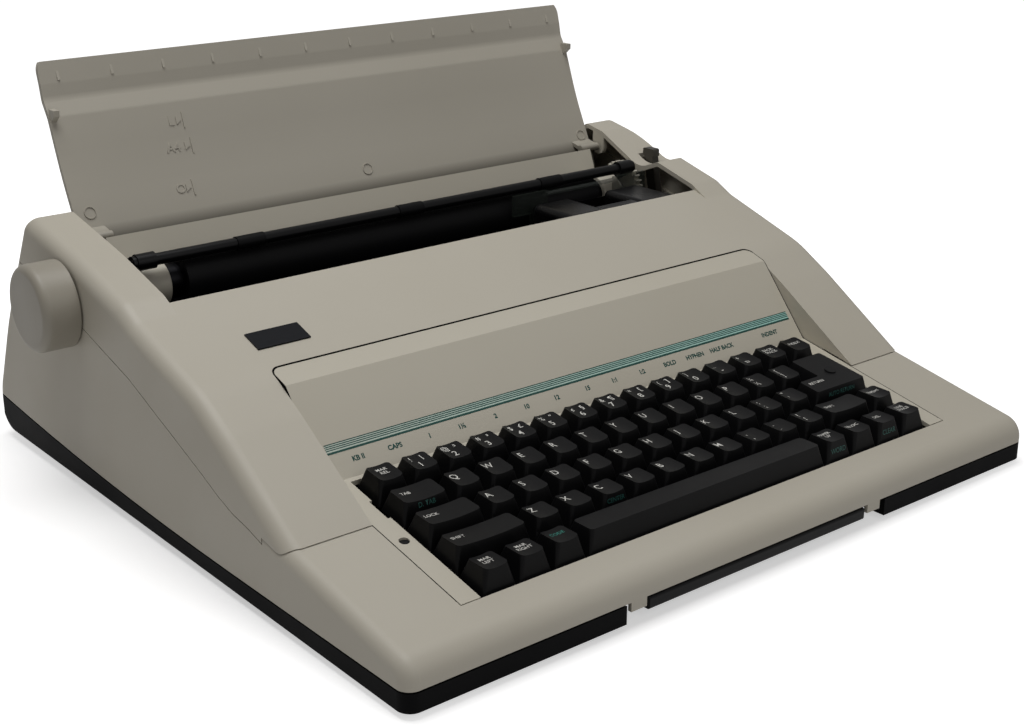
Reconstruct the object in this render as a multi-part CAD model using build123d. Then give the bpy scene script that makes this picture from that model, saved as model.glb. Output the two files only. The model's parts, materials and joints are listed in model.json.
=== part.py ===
from build123d import *
import math
import os

# Electronic typewriter with its lid open, drawn in millimetres.
# While it is drawn, X is 0 on the body's centre and grows to the right, Y is 0 at the
# front nose and grows to the rear, and Z is 0 on the table. export_node() then moves
# everything so that the origin lies at the bottom centre of the whole machine.

# Body outline
BODY_WIDTH = 394.0
BODY_DEPTH = 373.0
WALL = 2.5
FOOT_HEIGHT = 3.0
BASE_RISE = 3.2            # how much higher the underside is at the rear
BASE_REAR_RADIUS = 15.0
NOSE_HEIGHT = 23.2         # where the deck plane would meet the front face
NOSE_RADIUS = 11.0
DECK_ANGLE = 11.4          # slope of deck, keyboard panel and keys
DECK_EDGE_RADIUS = 6.5
DECK_BACK_Y = 101.0
COVER_EDGE_RADIUS = 7.5
WING_FRONT_Y = 80.4        # where the side wings rise from the deck
WING_CREST = (133.0, 73.3)
SLOPE_START = (155.5, 86.2)
SLOPE_ANGLE = 18.1
SLOPE_END_Y = 210.0
SHOULDER_FRONT = (222.0, 110.3)
SHOULDER_MIDDLE = (262.0, 121.2)
REAR_CORNER = (316.0, 131.9)
REAR_EDGE_RADIUS = 3.5     # of the ridge and side edges of the rear face
REAR_BEND_SHARE = 0.632    # where the rear face bends, from the corner to the rear edge
REAR_BEND = (REAR_CORNER[0] + REAR_BEND_SHARE * (BODY_DEPTH - REAR_CORNER[0]), 72.0)
REAR_FOOT_Z = 27.0

# Splits between the mouldings
SPLIT_GAP = 0.5
BASE_GAP = 0.8
BASE_SPLIT_Z = 12.0
BASE_SPLIT_FLAT_Y = 130.0
BASE_SPLIT_REAR_Z = 24.0
SEAM_START = [(60.0, 24.0), (100.5, 36.3)]
SIDE_SEAM = [(112.0, 39.5), (125.0, 42.0), (136.6, 46.0), (153.0, 53.0), (213.7, 77.0),
             (262.0, 90.5), (335.0, 109.0)]
TONGUE = 1.5               # strip behind the seam that keeps light out
TONGUE_REACH = 4.0

# Keyboard panel
PANEL_HALF = 154.5
PANEL_FRONT_Y = 21.3
PANEL_SHEET = 2.2
PANEL_STEP = (115.8, 46.55)
PANEL_FOLD = (147.0, 83.4)
PANEL_REAR_Y = 159.5
PANEL_CORNER_RADIUS = 4.5
PANEL_GAP = 0.5
PANEL_REAR_GAP = 0.9
KEY_WINDOW_HALF = 144.5
KEY_WINDOW_REAR_Y = 113.2
WINDOW_NOTCH = (83.0, 97.0, 1.5)    # front, rear and depth, in the left strip
PANEL_SCREW = (-149.3, 66.7)
PANEL_SCREW_RADIUS = 1.5
PANEL_SCREW_HEAD = 2.4     # radius of the recess
PANEL_SCREW_SINK = 1.6

# Carriage opening and lid
OPENING_HALF = 172.0
OPENING_FRONT_Y = 219.5
OPENING_REAR_Y = 319.0
LID_GAP = 1.0              # beside the lid
LID_HALF = OPENING_HALF - LID_GAP
LID_SHEET = 2.5
LID_CORNER_RADIUS = 8.0
HINGE = (304.0, 119.3)
HINGE_BARREL_RADIUS = 2.2
HINGE_BARREL_LENGTH = 14.0  # at each end of the lid
HINGE_PIN_RADIUS = 1.0
HINGE_PIN_GRIP = 12.0      # length of pin inside the barrel
RUNNING_FIT = 0.05
LID_TAIL = (305.2, 107.0)
LID_ROOT = (311.3, 121.3)
LID_FACE = [(324.2, 147.8), (334.4, 175.5), (339.5, 183.5), (341.0, 191.0)]
LID_TIP = (344.0, 202.0)
LID_RIBS = 12
LID_RIB = (1.4, 2.2, 9.5)  # width, height and length of a rib
LID_RIB_START = 3.2        # from the free edge, clear of the lip that the edge lies on
LID_HOOK_SIZE = (3.0, 8.0, 5.0)
EAR_SHEET = 3.0
EAR_RADIUS = 5.0

# Release lever and the scoop it stands in
SCOOP = [(306.0, 131.5), (266.5, 112.2), (249.0, 119.0)]
SCOOP_RADIUS = 16.0
LEVER_X = 182.0
LEVER_SHEET = 5.0
LEVER_PIVOT = (262.0, 80.0)
LEVER_BAR = 7.0
LEVER_TIP = (265.0, 274.0, 117.5, 122.0)
LEVER_SLOT = (255.0, 277.5)
LEVER_STUD_RADIUS = 3.0

# Platen and paper feed
PLATEN = (278.0, 98.0)
PLATEN_RADIUS = 15.0
PLATEN_HALF = 137.0
RUBBER = 3.0
CORE_HALF = 144.5
CORE_HUB_RADIUS = 9.0
CAP_HALF = 158.0
CAP_RADIUS = 11.5
SHAFT_RADIUS = 4.0
SHAFT_RIGHT_X = 171.0
KNOB_RADIUS = 21.5
KNOB_INNER_X = -198.0
KNOB_OUTER_X = -216.0
KNOB_EDGE_RADIUS = 4.0
KNOB_HOLE_RADIUS = 7.0
PAN_GAP = 2.0
PAN_SHEET = 1.0
PAN_ANGLES = (205.0, 335.0)
ROLLER_RADIUS = 6.0
ROLLER_SHAFT_RADIUS = 2.5
ROLLER_LENGTH = 30.0
ROLLER_ANGLE = -80.0
ROLLERS_X = (-108.0, -36.0, 36.0, 108.0)
NIP = 0.3
TOOTH_MODULE = 1.0
PLATEN_TEETH = 32
PINION_TEETH = 12
GEAR_X = 166.5
GEAR_WIDTH = 4.0
GEAR_PLAY = 0.35
FEED_MOTOR_ANGLE = -60.0
FEED_MOTOR_RADIUS = 14.0
FEED_MOTOR_X = 172.0
FEED_MOTOR_LENGTH = 16.0

# Side frames
FRAME_X = 160.0            # inner face
FRAME_SHEET = 2.0
FRAME_Z = 16.0
FRAME_OUTLINE = [(205.0, 60.0), (224.0, 92.0), (262.0, 97.0), (288.0, 106.8), (300.0, 106.8),
                 (325.0, 60.0)]
FRAME_BOSSES_Y = (216.0, 312.0)
BUSH_FLANGE_RADIUS = 8.0
BUSH_RADIUS = 6.5

# Paper table and bail
TABLE_HALF = 162.0
TABLE_FOOT = (295.6, 106.8)
TABLE_TOP = (300.4, 119.3)
TABLE_SHEET = 1.0
BAIL_HALF = 166.0
BAIL = (266.8, 114.0)
BAIL_RADIUS = 3.0
BAIL_END_RADIUS = 2.0      # turned down where an arm is pressed on
BAIL_ROLLER_RADIUS = 3.5   # thin sleeves on the bar
BAIL_ROLLER_LENGTH = 16.0
BAIL_ROLLERS_X = (-100.0, 0.0, 100.0)
BAIL_PIVOT = (292.0, 100.0)
BAIL_STUD_RADIUS = 2.0
BAIL_ARM_X = 163.5
BAIL_ARM_SHEET = 2.0
BAIL_ARM_WIDTH = 7.0

# Print carriage, drawn at its resting place near the right end
CARRIAGE_X = 118.0
GUIDE_ROD_RADIUS = 4.0
FRONT_ROD = (214.0, 62.0)
REAR_ROD = (240.0, 40.0)
CARRIAGE_HALF = 38.0
CARRIAGE_SHEET = 4.0
CARRIAGE_TOP = 84.0
CROSS_Y = 222.0
CROSS_SHEET = 3.5
WHEEL_Y = 256.0
WHEEL_Z = 66.0
WHEEL_RADIUS = 33.0
WHEEL_HUB_RADIUS = 10.0
WHEEL_SHEET = 1.0
PETALS = 48
PETAL_WIDTH = 1.3
WHEEL_MOTOR_RADIUS = 17.0
WHEEL_SHAFT_RADIUS = 2.5
HAMMER_RADIUS = 5.0
CASSETTE_TOP = 106.5
CASSETTE_INNER = 13.0
CASSETTE_OUTER = 41.0
CASSETTE_REAR_Y = 255.0
CASSETTE_PLAY = 1.5        # behind the cover's front lip, so that it lifts out
CARD_Y = 258.5
CARD_SHEET = 2.0

# Carriage drive
BELT_Y = 202.5
BELT_WIDTH = 5.0
BELT_SHEET = 0.8
BELT_PLAY = 0.1
PULLEY_RADIUS = 8.0
PULLEY_Z = 60.0
DRIVE_X = -135.0
IDLER_X = 142.0
BRACKET_SHEET = 2.0
BRACKET_GAP = 4.5          # from a bracket to the belt
BRACKET_Y = BELT_Y - BRACKET_GAP - BRACKET_SHEET
DRIVE_MOTOR_RADIUS = 18.0
DRIVE_MOTOR_LENGTH = 26.0
DRIVE_SHAFT_RADIUS = 2.5

# Keys. The block is square to the deck: u runs up the slope and w stands out of it.
KEY_ORIGIN = (21.1, 27.4)
KEY_PITCH = 19.05
ROW_PITCH = 18.6
KEYS_WIDE = 15
KEY_GAP = 0.65             # from the edge of a cell to the key's skirt
KEY_BOTTOM = -3.0
KEY_TOP_INSET = 3.5
KEY_WALL = 1.4
KEY_TRAVEL = 4.0
KEY_ROUND = 1.2
DISH_DEPTH = 0.8
STEM_RADIUS = 3.0
STEM_BOTTOM = -8.0
GUIDE_PLAY = 0.08
GUIDE_SQUARE = 13.5
GUIDE_TOP = -7.2
GUIDE_BOTTOM = -10.5
GUIDE_PLATE = 1.5
GUIDE_MARGIN = 4.0
MEMBRANE_TOP = -12.1
BOARD_TOP = -12.5
BOARD_SHEET = 1.6
# From the spacebar row to the number row: front inset of the top, its depth, the height
# of its front edge and how much its rear edge is higher
KEY_ROWS = [(5.4, 12.0, 8.6, -2.3), (5.0, 12.3, 8.3, -2.2), (4.9, 12.3, 7.8, -1.6),
            (4.8, 12.4, 7.3, -0.9), (4.6, 12.5, 8.0, -0.8)]
KEYBOARD_POSTS = [(-120.0, 40.0), (120.0, 40.0), (-120.0, 100.0), (120.0, 100.0)]
KEYBOARD_POST = 7.0

# Handle that slides out of the front edge
HANDLE_HALF = 70.0
HANDLE_ROOM = 14.0         # pocket beyond each end of the bar
HANDLE_BAR_Y = (0.8, 7.8)
HANDLE_BAR_Z = (4.6, 10.9)
HANDLE_POCKET_DEPTH = 24.0
HANDLE_ARMS_X = (-62.0, 62.0)
HANDLE_ARM = 8.0
HANDLE_ARM_Z = (6.9, 10.3)
HANDLE_CLEARANCE = 0.5
HANDLE_GUIDE_Y = (30.0, 34.0)
HANDLE_TRAVEL = 25.0
HANDLE_STOP = (2.0, 3.0)   # how far a stop stands out of its arm, and its length
HANDLE_ARM_END_Y = HANDLE_GUIDE_Y[1] + HANDLE_TRAVEL + RUNNING_FIT + HANDLE_STOP[1]
COVER_HOOKS = [(-81.0, -72.0), (72.0, 81.0)]
COVER_HOOK_Y = (0.6, 2.6)
COVER_HOOK_Z = 7.5

# Right side: mains inlet and switch, set flush in the side wall
SIDE_PART_Z = 48.0
SIDE_FIT = 0.15
INLET_Y = BODY_DEPTH - 43.0
INLET_SIZE = (27.0, 20.0)
INLET_SOCKET = (21.0, 13.0)
INLET_LENGTH = 22.0
INLET_SOCKET_DEPTH = 15.0
INLET_PIN = (2.0, 4.0)
SWITCH_Y = INLET_Y - 34.0
SWITCH_SIZE = (17.0, 25.0)
SWITCH_WELL = (13.0, 20.4)
SWITCH_LENGTH = 20.0
SWITCH_WELL_DEPTH = 14.0
ROCKER_PIVOT_DEPTH = 8.5
ROCKER_HALF = 8.5
ROCKER_WIDTH = 12.0
ROCKER_PIN_RADIUS = 1.5
ROCKER_TILT = 8.0

# Base fittings
FOOT_RADIUS = 7.0
FOOT_SEAT = 1.0
REAR_FEET_Y = BODY_DEPTH - 38.0
FEET = [(-165.0, 26.0), (165.0, 26.0), (-165.0, REAR_FEET_Y), (165.0, REAR_FEET_Y)]
SCREW_HEAD_RADIUS = 3.2
SCREW_HEAD_HEIGHT = 2.0
SCREW_RADIUS = 1.6
SCREW_SINK = 4.0
CASE_SCREWS = [(-187.5, 56.0), (187.5, 56.0), (-187.5, 240.0), (187.5, 240.0)]
CASE_POST_RADIUS = 6.0
CASE_BOSS_RADIUS = 8.0
CASE_POST_Z = 19.0
CASE_BOSS_TOP = 29.0
CASE_SCREW_TOP = 26.0
BOARD = (10.0, 165.0, 150.0, 54.0)          # centre x and y, width and depth
BOARD_Z = 16.0
TRANSFORMER = (-118.0, BODY_DEPTH - 39.0, 52.0, 40.0)   # centre x and y, width and depth
TRANSFORMER_Z = 12.0
TRANSFORMER_HEIGHT = 42.0
BADGE = (-138.0, 179.5, 28.0, 12.6)         # centre x and y, width and depth on the slope
BADGE_SHEET = 0.8

HALF = BODY_WIDTH / 2
CENTRE_X = (HALF + KNOB_OUTER_X) / 2
CENTRE_Y = BODY_DEPTH / 2
FRAME_OUT = FRAME_X + FRAME_SHEET


def export_node(name, *shapes):
    """Move one node to the machine's origin and write it."""
    solids = [solid for shape in shapes for solid in shape.solids()]
    node = solids[0] if len(solids) == 1 else Compound(solids)
    export_step(Pos(-CENTRE_X, -CENTRE_Y, 0) * node, os.path.join("parts", name + ".step"))


def tangent(angle):
    return math.tan(math.radians(angle))


def turned(centre, radius, angle):
    """A point at a radius and an angle, measured up from the rear, in the side view."""
    angle = math.radians(angle)
    return (centre[0] + radius * math.cos(angle), centre[1] + radius * math.sin(angle))


def bottom_z(y):
    """Height of the underside at a depth y."""
    return FOOT_HEIGHT + BASE_RISE * y / BODY_DEPTH


def deck_z(y):
    """Height of the plane that deck and keyboard panel share."""
    return NOSE_HEIGHT + tangent(DECK_ANGLE) * y


def slope_z(y):
    """Height of the front slope above the keyboard."""
    return SLOPE_START[1] + tangent(SLOPE_ANGLE) * (y - SLOPE_START[0])


def slab(points, x0, x1, radii=None):
    """Side-view outline in Y and Z, drawn across from x0 to x1."""
    if radii:
        line = FilletPolyline(*points, radius=radii, close=True)
    else:
        line = Polyline(*points, close=True)
    return Pos(x0, 0, 0) * extrude(Plane.YZ * make_face(line), amount=x1 - x0)


def block(x0, x1, y0, y1, z0, z1):
    """A box between two corners."""
    return Pos((x0 + x1) / 2, (y0 + y1) / 2, (z0 + z1) / 2) * Box(x1 - x0, y1 - y0, z1 - z0)


def rod(radius, x0, x1, centre):
    """A round bar along X."""
    return Pos((x0 + x1) / 2, *centre) * Rot(0, 90, 0) * Cylinder(radius, x1 - x0)


def rod_y(radius, x, y0, y1, z):
    """A round bar along Y."""
    return Pos(x, (y0 + y1) / 2, z) * Rot(90, 0, 0) * Cylinder(radius, y1 - y0)


def rod_z(radius, x, y, z0, z1):
    """A round bar along Z."""
    return Pos(x, y, (z0 + z1) / 2) * Cylinder(radius, z1 - z0)


def link(start, end, width, x0, x1):
    """A flat bar with round ends between two points of the side view."""
    ny, nz = normal(start, end)
    ny, nz = ny * width / 2, nz * width / 2
    points = [(start[0] + ny, start[1] + nz), (end[0] + ny, end[1] + nz),
              (end[0] - ny, end[1] - nz), (start[0] - ny, start[1] - nz)]
    return slab(points, x0, x1) + rod(width / 2, x0, x1, start) + rod(width / 2, x0, x1, end)


def normal(start, end):
    """Unit direction to the right of a line in the side view."""
    dy = end[0] - start[0]
    dz = end[1] - start[1]
    length = math.hypot(dy, dz)
    return (dz / length, -dy / length)


def strip(points, thickness):
    """Outline of a bent sheet: its points, and back along its other face."""
    other = []
    last = len(points) - 1
    for i, (y, z) in enumerate(points):
        first = normal(points[max(i - 1, 0)], points[max(i, 1)])
        second = normal(points[min(i, last - 1)], points[min(i + 1, last)])
        scale = thickness / (1 + first[0] * second[0] + first[1] * second[1])
        other.append((y + (first[0] + second[0]) * scale, z + (first[1] + second[1]) * scale))
    return list(points) + other[::-1]


# Body mouldings

def prism(points, radii, inset, edge_radius, free_y, rear_y=1000.0):
    """One part of the outer body: its side view, inset all round, with soft side edges up
    to a rear face that starts at rear_y."""
    face = make_face(FilletPolyline(*points, radius=radii, close=True))
    if inset:
        face = offset(face, amount=-inset, kind=Kind.INTERSECTION)
    half = HALF - inset
    solid = extrude(Plane.YZ * face, amount=half, both=True).solid()
    edges = []
    for edge in solid.edges():
        centre = edge.center()
        on_side = abs(abs(centre.X) - half) < 0.001
        forward = centre.Z > 1.0 + inset and centre.Y < rear_y - inset
        if on_side and forward and abs(centre.Y - free_y) > 0.01:
            edges.append(edge)
    return fillet(edges, radius=edge_radius - inset)


def deck_body(inset=0.0):
    """Nose and deck, up to just behind the front of the wings."""
    points = [(0, 0), (0, NOSE_HEIGHT), (DECK_BACK_Y, deck_z(DECK_BACK_Y)), (DECK_BACK_Y, 0)]
    return prism(points, [0, NOSE_RADIUS, 0, 0], inset, DECK_EDGE_RADIUS, DECK_BACK_Y - inset)


def cover_body(inset=0.0):
    """Wings, top and rear."""
    start_y = WING_FRONT_Y - 20.0
    rise = (WING_CREST[1] - deck_z(WING_FRONT_Y)) / (WING_CREST[0] - WING_FRONT_Y)
    start_z = deck_z(WING_FRONT_Y) - rise * 20.0
    points = [(start_y, 0), (start_y, start_z), WING_CREST, SLOPE_START,
              (SLOPE_END_Y, slope_z(SLOPE_END_Y)), SHOULDER_FRONT, SHOULDER_MIDDLE,
              REAR_CORNER, REAR_BEND, (BODY_DEPTH, REAR_FOOT_Z), (BODY_DEPTH, 0)]
    radii = [0, 0, 60, 60, 16, 16, 300, 0, 200, 30, 0]
    body = prism(points, radii, inset, COVER_EDGE_RADIUS, start_y + inset, REAR_CORNER[0])
    if inset < REAR_EDGE_RADIUS:
        ridge = body.edges().filter_by(Axis.X).sort_by(Axis.Z)[-1]
        body = fillet(ridge, radius=REAR_EDGE_RADIUS - inset)
    return body


def underside(inset=0.0):
    """Everything above the underside, with its rounded rear edge."""
    reach = BODY_DEPTH - inset
    points = [(-10, bottom_z(-10) + inset), (-10, 200), (reach, 200),
              (reach, bottom_z(reach) + inset)]
    return slab(points, -HALF - 5, HALF + 5, [0, 0, 0, BASE_REAR_RADIUS - inset])


def outer_body(inset=0.0):
    return (deck_body(inset) + cover_body(inset)) & underside(inset)


def base_split(shift, upper):
    """The region above or below the line between the black base and the grey covers."""
    start = BASE_SPLIT_Z + shift
    end = BASE_SPLIT_REAR_Z + shift
    far = BODY_DEPTH + 10.0
    level = 250.0 if upper else -10.0
    flat = Line((-20, start), (BASE_SPLIT_FLAT_Y, start))
    arc = TangentArc((BASE_SPLIT_FLAT_Y, start), (BODY_DEPTH, end), tangent=(1, 0))
    rest = Polyline((BODY_DEPTH, end), (far, end), (far, level), (-20, level), (-20, start))
    face = make_face(Curve() + [flat, arc, rest])
    return extrude(Plane.YZ * face, amount=HALF + 5, both=True)


def seam_line(shift):
    far = (BODY_DEPTH + 10.0, SIDE_SEAM[-1][1])
    return [(y, z + shift) for y, z in SEAM_START + SIDE_SEAM + [far]]


def above_seam(shift):
    """The region above the seam between lower and upper cover."""
    top = [(BODY_DEPTH + 10.0, 250.0), (SEAM_START[0][0], 250.0)]
    return slab(seam_line(shift) + top, -HALF - 5, HALF + 5)


def seam_tongue():
    """Strip inside the side and rear walls that stands up behind the seam."""
    band = seam_line(TONGUE_REACH) + seam_line(-TONGUE_REACH)[::-1]
    ring = cover_body(WALL) - cover_body(WALL + TONGUE)
    ring = ring & slab(band, -HALF - 5, HALF + 5)
    return ring - block(-HALF, HALF, 0, DECK_BACK_Y + 12, 0, 200)


def panel_zone(gap, rear_gap):
    """The room that the keyboard panel takes, grown by a gap."""
    half = PANEL_HALF + gap
    solid = block(-half, half, PANEL_FRONT_Y - gap, PANEL_REAR_Y + rear_gap, 5, 140)
    edges = solid.edges().filter_by(Axis.Z).sort_by(Axis.Y)[-2:]
    return fillet(edges, radius=PANEL_CORNER_RADIUS + gap)


def knob_hole():
    return rod(KNOB_HOLE_RADIUS, -HALF - 5, -HALF + 20, PLATEN)


def side_box(y, size, depth, length=0.0):
    """A box set into the right side wall, down to a depth, or past it by a length."""
    return block(HALF - depth, HALF + length, y - size[0] / 2, y + size[0] / 2,
                 SIDE_PART_Z - size[1] / 2, SIDE_PART_Z + size[1] / 2)


def side_holes():
    """Cuts in the right side wall for the inlet and the switch."""
    cuts = []
    for y, size in ((INLET_Y, INLET_SIZE), (SWITCH_Y, SWITCH_SIZE)):
        room = (size[0] + 2 * SIDE_FIT, size[1] + 2 * SIDE_FIT)
        cuts.append(side_box(y, room, WALL + TONGUE + 5, 5))
    return cuts


def key_point(u, w):
    """Y and Z of a point in the keyboard's own axes."""
    angle = math.radians(DECK_ANGLE)
    return (KEY_ORIGIN[0] + u * math.cos(angle) - w * math.sin(angle),
            KEY_ORIGIN[1] + u * math.sin(angle) + w * math.cos(angle))


def board_floor(y):
    """Height of the keyboard board's underside at a depth y."""
    low = key_point(0, BOARD_TOP - BOARD_SHEET)
    return low[1] + tangent(DECK_ANGLE) * (y - low[0])


def board_corners():
    x, y, width, depth = BOARD
    reach_x = width / 2 - 6
    reach_y = depth / 2 - 6
    return [(x + sx * reach_x, y + sy * reach_y) for sx in (-1, 1) for sy in (-1, 1)]


def bottom_case(shell):
    """Black base tray with its posts and the pocket for the handle."""
    base = shell & base_split(-BASE_GAP / 2, upper=False)
    half = HANDLE_HALF + HANDLE_ROOM
    ceiling = BASE_SPLIT_Z - BASE_GAP / 2
    rear = HANDLE_POCKET_DEPTH
    base -= block(-half, half, -5, rear, 0, ceiling + 1)
    wall = block(-half - WALL, half + WALL, WALL, rear + WALL, bottom_z(rear), ceiling)
    wall -= block(-half, half, 0, rear, 0, ceiling + 1)
    room = HANDLE_ARM / 2 + HANDLE_CLEARANCE
    for x in HANDLE_ARMS_X:
        wall -= block(x - room, x + room, 10, 60, bottom_z(rear) + WALL, ceiling + 1)
    base += wall
    for x, y in FEET:
        base -= rod_z(FOOT_RADIUS, x, y, -1, bottom_z(y) + FOOT_SEAT)
    posts = [rod_z(3, x, y, bottom_z(y) + 1, BOARD_Z) for x, y in board_corners()]
    for side in (-1, 1):
        x = side * (FRAME_X + FRAME_SHEET / 2)
        posts += [rod_z(5, x, y, bottom_z(y) + 1, FRAME_Z) for y in FRAME_BOSSES_Y]
    for x, y in KEYBOARD_POSTS:
        front = y - KEYBOARD_POST / 2
        back = y + KEYBOARD_POST / 2
        outline = [(front, bottom_z(y) + 1), (front, board_floor(front)),
                   (back, board_floor(back)), (back, bottom_z(y) + 1)]
        posts.append(slab(outline, x - KEYBOARD_POST / 2, x + KEYBOARD_POST / 2))
    for x in (DRIVE_X, IDLER_X):
        posts.append(block(x - 12, x + 12, BRACKET_Y - 3, BRACKET_Y + BRACKET_SHEET + 3,
                           bottom_z(BRACKET_Y) + 1, FRAME_Z))
    x, y, width, depth = TRANSFORMER
    posts.append(block(x - 20, x + 20, y - 16, y + 16, bottom_z(y) + 1, TRANSFORMER_Z))
    for post in posts + handle_guides():
        base += post
    for x, y in CASE_SCREWS:
        base += rod_z(CASE_POST_RADIUS, x, y, bottom_z(y) + 1, CASE_POST_Z)
        base -= rod_z(SCREW_HEAD_RADIUS + 0.3, x, y, 0, bottom_z(y) + SCREW_SINK)
        base -= rod_z(SCREW_RADIUS + 0.2, x, y, 0, CASE_POST_Z + 1)
    return base


def lower_cover(shell, inside):
    """Grey lower cover: nose, deck beside the keyboard, and side and rear walls."""
    cover = shell & base_split(BASE_GAP / 2, upper=True)
    cover -= above_seam(0.0) - deck_body()
    cover += seam_tongue()
    cover -= panel_zone(PANEL_GAP, 40.0)
    for x0, x1 in COVER_HOOKS:
        y0, y1 = COVER_HOOK_Y
        cover += block(x0, x1, y0, y1, COVER_HOOK_Z, BASE_SPLIT_Z + 2)
    for x, y in CASE_SCREWS:
        cover += rod_z(CASE_BOSS_RADIUS, x, y, CASE_POST_Z, CASE_BOSS_TOP) & inside
        cover -= rod_z(SCREW_RADIUS, x, y, CASE_POST_Z - 1, CASE_SCREW_TOP)
    cover -= knob_hole()
    for cut in side_holes():
        cover -= cut
    return cover


def panel_line():
    """Outer face of the keyboard panel in the side view."""
    return [(PANEL_FRONT_Y, deck_z(PANEL_FRONT_Y)), PANEL_STEP, PANEL_FOLD,
            (PANEL_REAR_Y, slope_z(PANEL_REAR_Y))]


def wing_cheeks():
    """Inner walls of the wings, beside the keyboard panel."""
    line = [(y, z - PANEL_SHEET) for y, z in panel_line()[1:]]
    low = [(WING_FRONT_Y - 5, deck_z(WING_FRONT_Y - 5) - PANEL_SHEET)] + line
    outline = low + [(PANEL_REAR_Y + 5, low[-1][1]), (PANEL_REAR_Y + 5, 150), (low[0][0], 150)]
    start = PANEL_HALF + PANEL_GAP
    walls = slab(outline, start, start + WALL) + slab(outline, -start - WALL, -start)
    return (walls & cover_body(0.8)) - deck_body(-SPLIT_GAP)


def upper_cover(shell):
    """Grey upper cover: wings, slope, shoulders and rear edge round the carriage opening."""
    cover = (shell & above_seam(SPLIT_GAP)) - deck_body(-SPLIT_GAP)
    cover -= panel_zone(PANEL_GAP, PANEL_REAR_GAP)
    cover += wing_cheeks()
    front = [(190.0, slope_z(190.0)), (OPENING_FRONT_Y + 1, slope_z(OPENING_FRONT_Y + 1)),
             (OPENING_FRONT_Y + 1, 150.0), (190.0, 150.0)]
    cover -= slab(front, -OPENING_HALF, OPENING_HALF)
    cover -= block(-OPENING_HALF, OPENING_HALF, OPENING_FRONT_Y, OPENING_REAR_Y, 60, 150)
    rear, middle, front = SCOOP
    hollow = slab([rear, middle, front, (front[0], 160.0), (rear[0], 160.0)],
                  OPENING_HALF - 5, HALF + 5, [0, SCOOP_RADIUS, 0, 0, 0])
    under = strip([front, middle, rear], WALL)[3:]
    cover += slab([front, rear] + under, OPENING_HALF, HALF - 1) & cover_body(WALL / 2)
    cover -= hollow
    room = 1.0
    cover -= block(LEVER_X - room, LEVER_X + LEVER_SHEET + room, *LEVER_SLOT, 100, 130)
    for side in (-1, 1):
        inner = side * OPENING_HALF
        x0, x1 = sorted((inner, inner + side * EAR_SHEET))
        ear = link(HINGE, (HINGE[0], HINGE[1] + 12), 2 * EAR_RADIUS, x0, x1)
        cover += ear & cover_body(0.8)
        cover -= rod(HINGE_PIN_RADIUS, x0 - 1, x1 + 1, HINGE)
    cover -= knob_hole()
    return cover


def keyboard_panel():
    """Grey panel round the keys: side strips, steep face and upper facet."""
    panel = slab(strip(panel_line(), PANEL_SHEET), -PANEL_HALF, PANEL_HALF)
    panel = panel & panel_zone(0.0, 0.0)
    panel -= block(-KEY_WINDOW_HALF, KEY_WINDOW_HALF, 0, KEY_WINDOW_REAR_Y, 0, 48)
    front, rear, depth = WINDOW_NOTCH
    panel -= block(-KEY_WINDOW_HALF - depth, -KEY_WINDOW_HALF + 1, front, rear, 0, 60)
    x, y = PANEL_SCREW
    seat = deck_z(y) - PANEL_SCREW_SINK
    panel += rod_z(PANEL_SCREW_HEAD + 1.5, x, y, seat - 4, seat)
    panel -= rod_z(PANEL_SCREW_HEAD, x, y, seat, 60)
    return panel - rod_z(PANEL_SCREW_RADIUS, x, y, seat - 5, 60)


def badge_plate():
    """Small bare plate on the left of the slope."""
    x, y, width, depth = BADGE
    place = Pos(x, y, slope_z(y)) * Rot(SLOPE_ANGLE, 0, 0)
    plate = Box(width, depth, BADGE_SHEET, align=(Align.CENTER, Align.CENTER, Align.MIN))
    return place * plate


# Lid

def paper_lid():
    """Lid moulding: bent plate, a hinge barrel on a web at each end, hooks and ribs."""
    face = [LID_TAIL, LID_ROOT] + LID_FACE + [LID_TIP]
    radii = [0, 200, 200, 6, 8, 10, 0]
    lid = slab(strip(face, LID_SHEET), -LID_HALF, LID_HALF, radii + radii[::-1])
    height = LID_TIP[1] - HINGE[1] + 20
    top = Pos(0, HINGE[0] - 20, LID_TIP[1] + LID_SHEET - height / 2) * Rot(90, 0, 0)
    outline = top * RectangleRounded(2 * LID_HALF, height, LID_CORNER_RADIUS)
    lid = lid & extrude(outline, amount=-80)
    web = [(HINGE[0], HINGE[1] + 1.2), (LID_ROOT[0] + 1, LID_ROOT[1] + 1.2),
           (LID_ROOT[0], LID_ROOT[1] - 1.2), (HINGE[0], HINGE[1] - 1.2)]
    bore = HINGE_PIN_RADIUS + RUNNING_FIT
    for side in (-1, 1):
        x0, x1 = sorted((side * (LID_HALF - HINGE_BARREL_LENGTH), side * LID_HALF))
        lid += slab(web, x0, x1) + rod(HINGE_BARREL_RADIUS, x0, x1, HINGE)
        x0, x1 = sorted((side * (LID_HALF - HINGE_PIN_GRIP - 1), side * (LID_HALF + 1)))
        lid -= rod(bore, x0, x1, HINGE)
        width, length, height = LID_HOOK_SIZE
        x0, x1 = sorted((side * (LID_HALF - 0.5), side * (LID_HALF - 0.5 - width)))
        y, z = LID_FACE[1]
        hook = [(y + 1, z - length / 2), (y + 1, z + length / 2), (y - height, z + length / 2),
                (y - height, z + 1)]
        lid += slab(hook, x0, x1)
    width, height, length = LID_RIB
    step = (2 * LID_HALF - 20) / (LID_RIBS - 1)
    y, z = LID_TIP
    start = z - LID_RIB_START
    rib = [(y + 0.6, start), (y - 0.6, start), (y - height - 1, z - length),
           (y - 0.6, z - length)]
    for i in range(LID_RIBS):
        x = -LID_HALF + 10 + i * step
        lid += slab(rib, x - width / 2, x + width / 2)
    return lid


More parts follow.
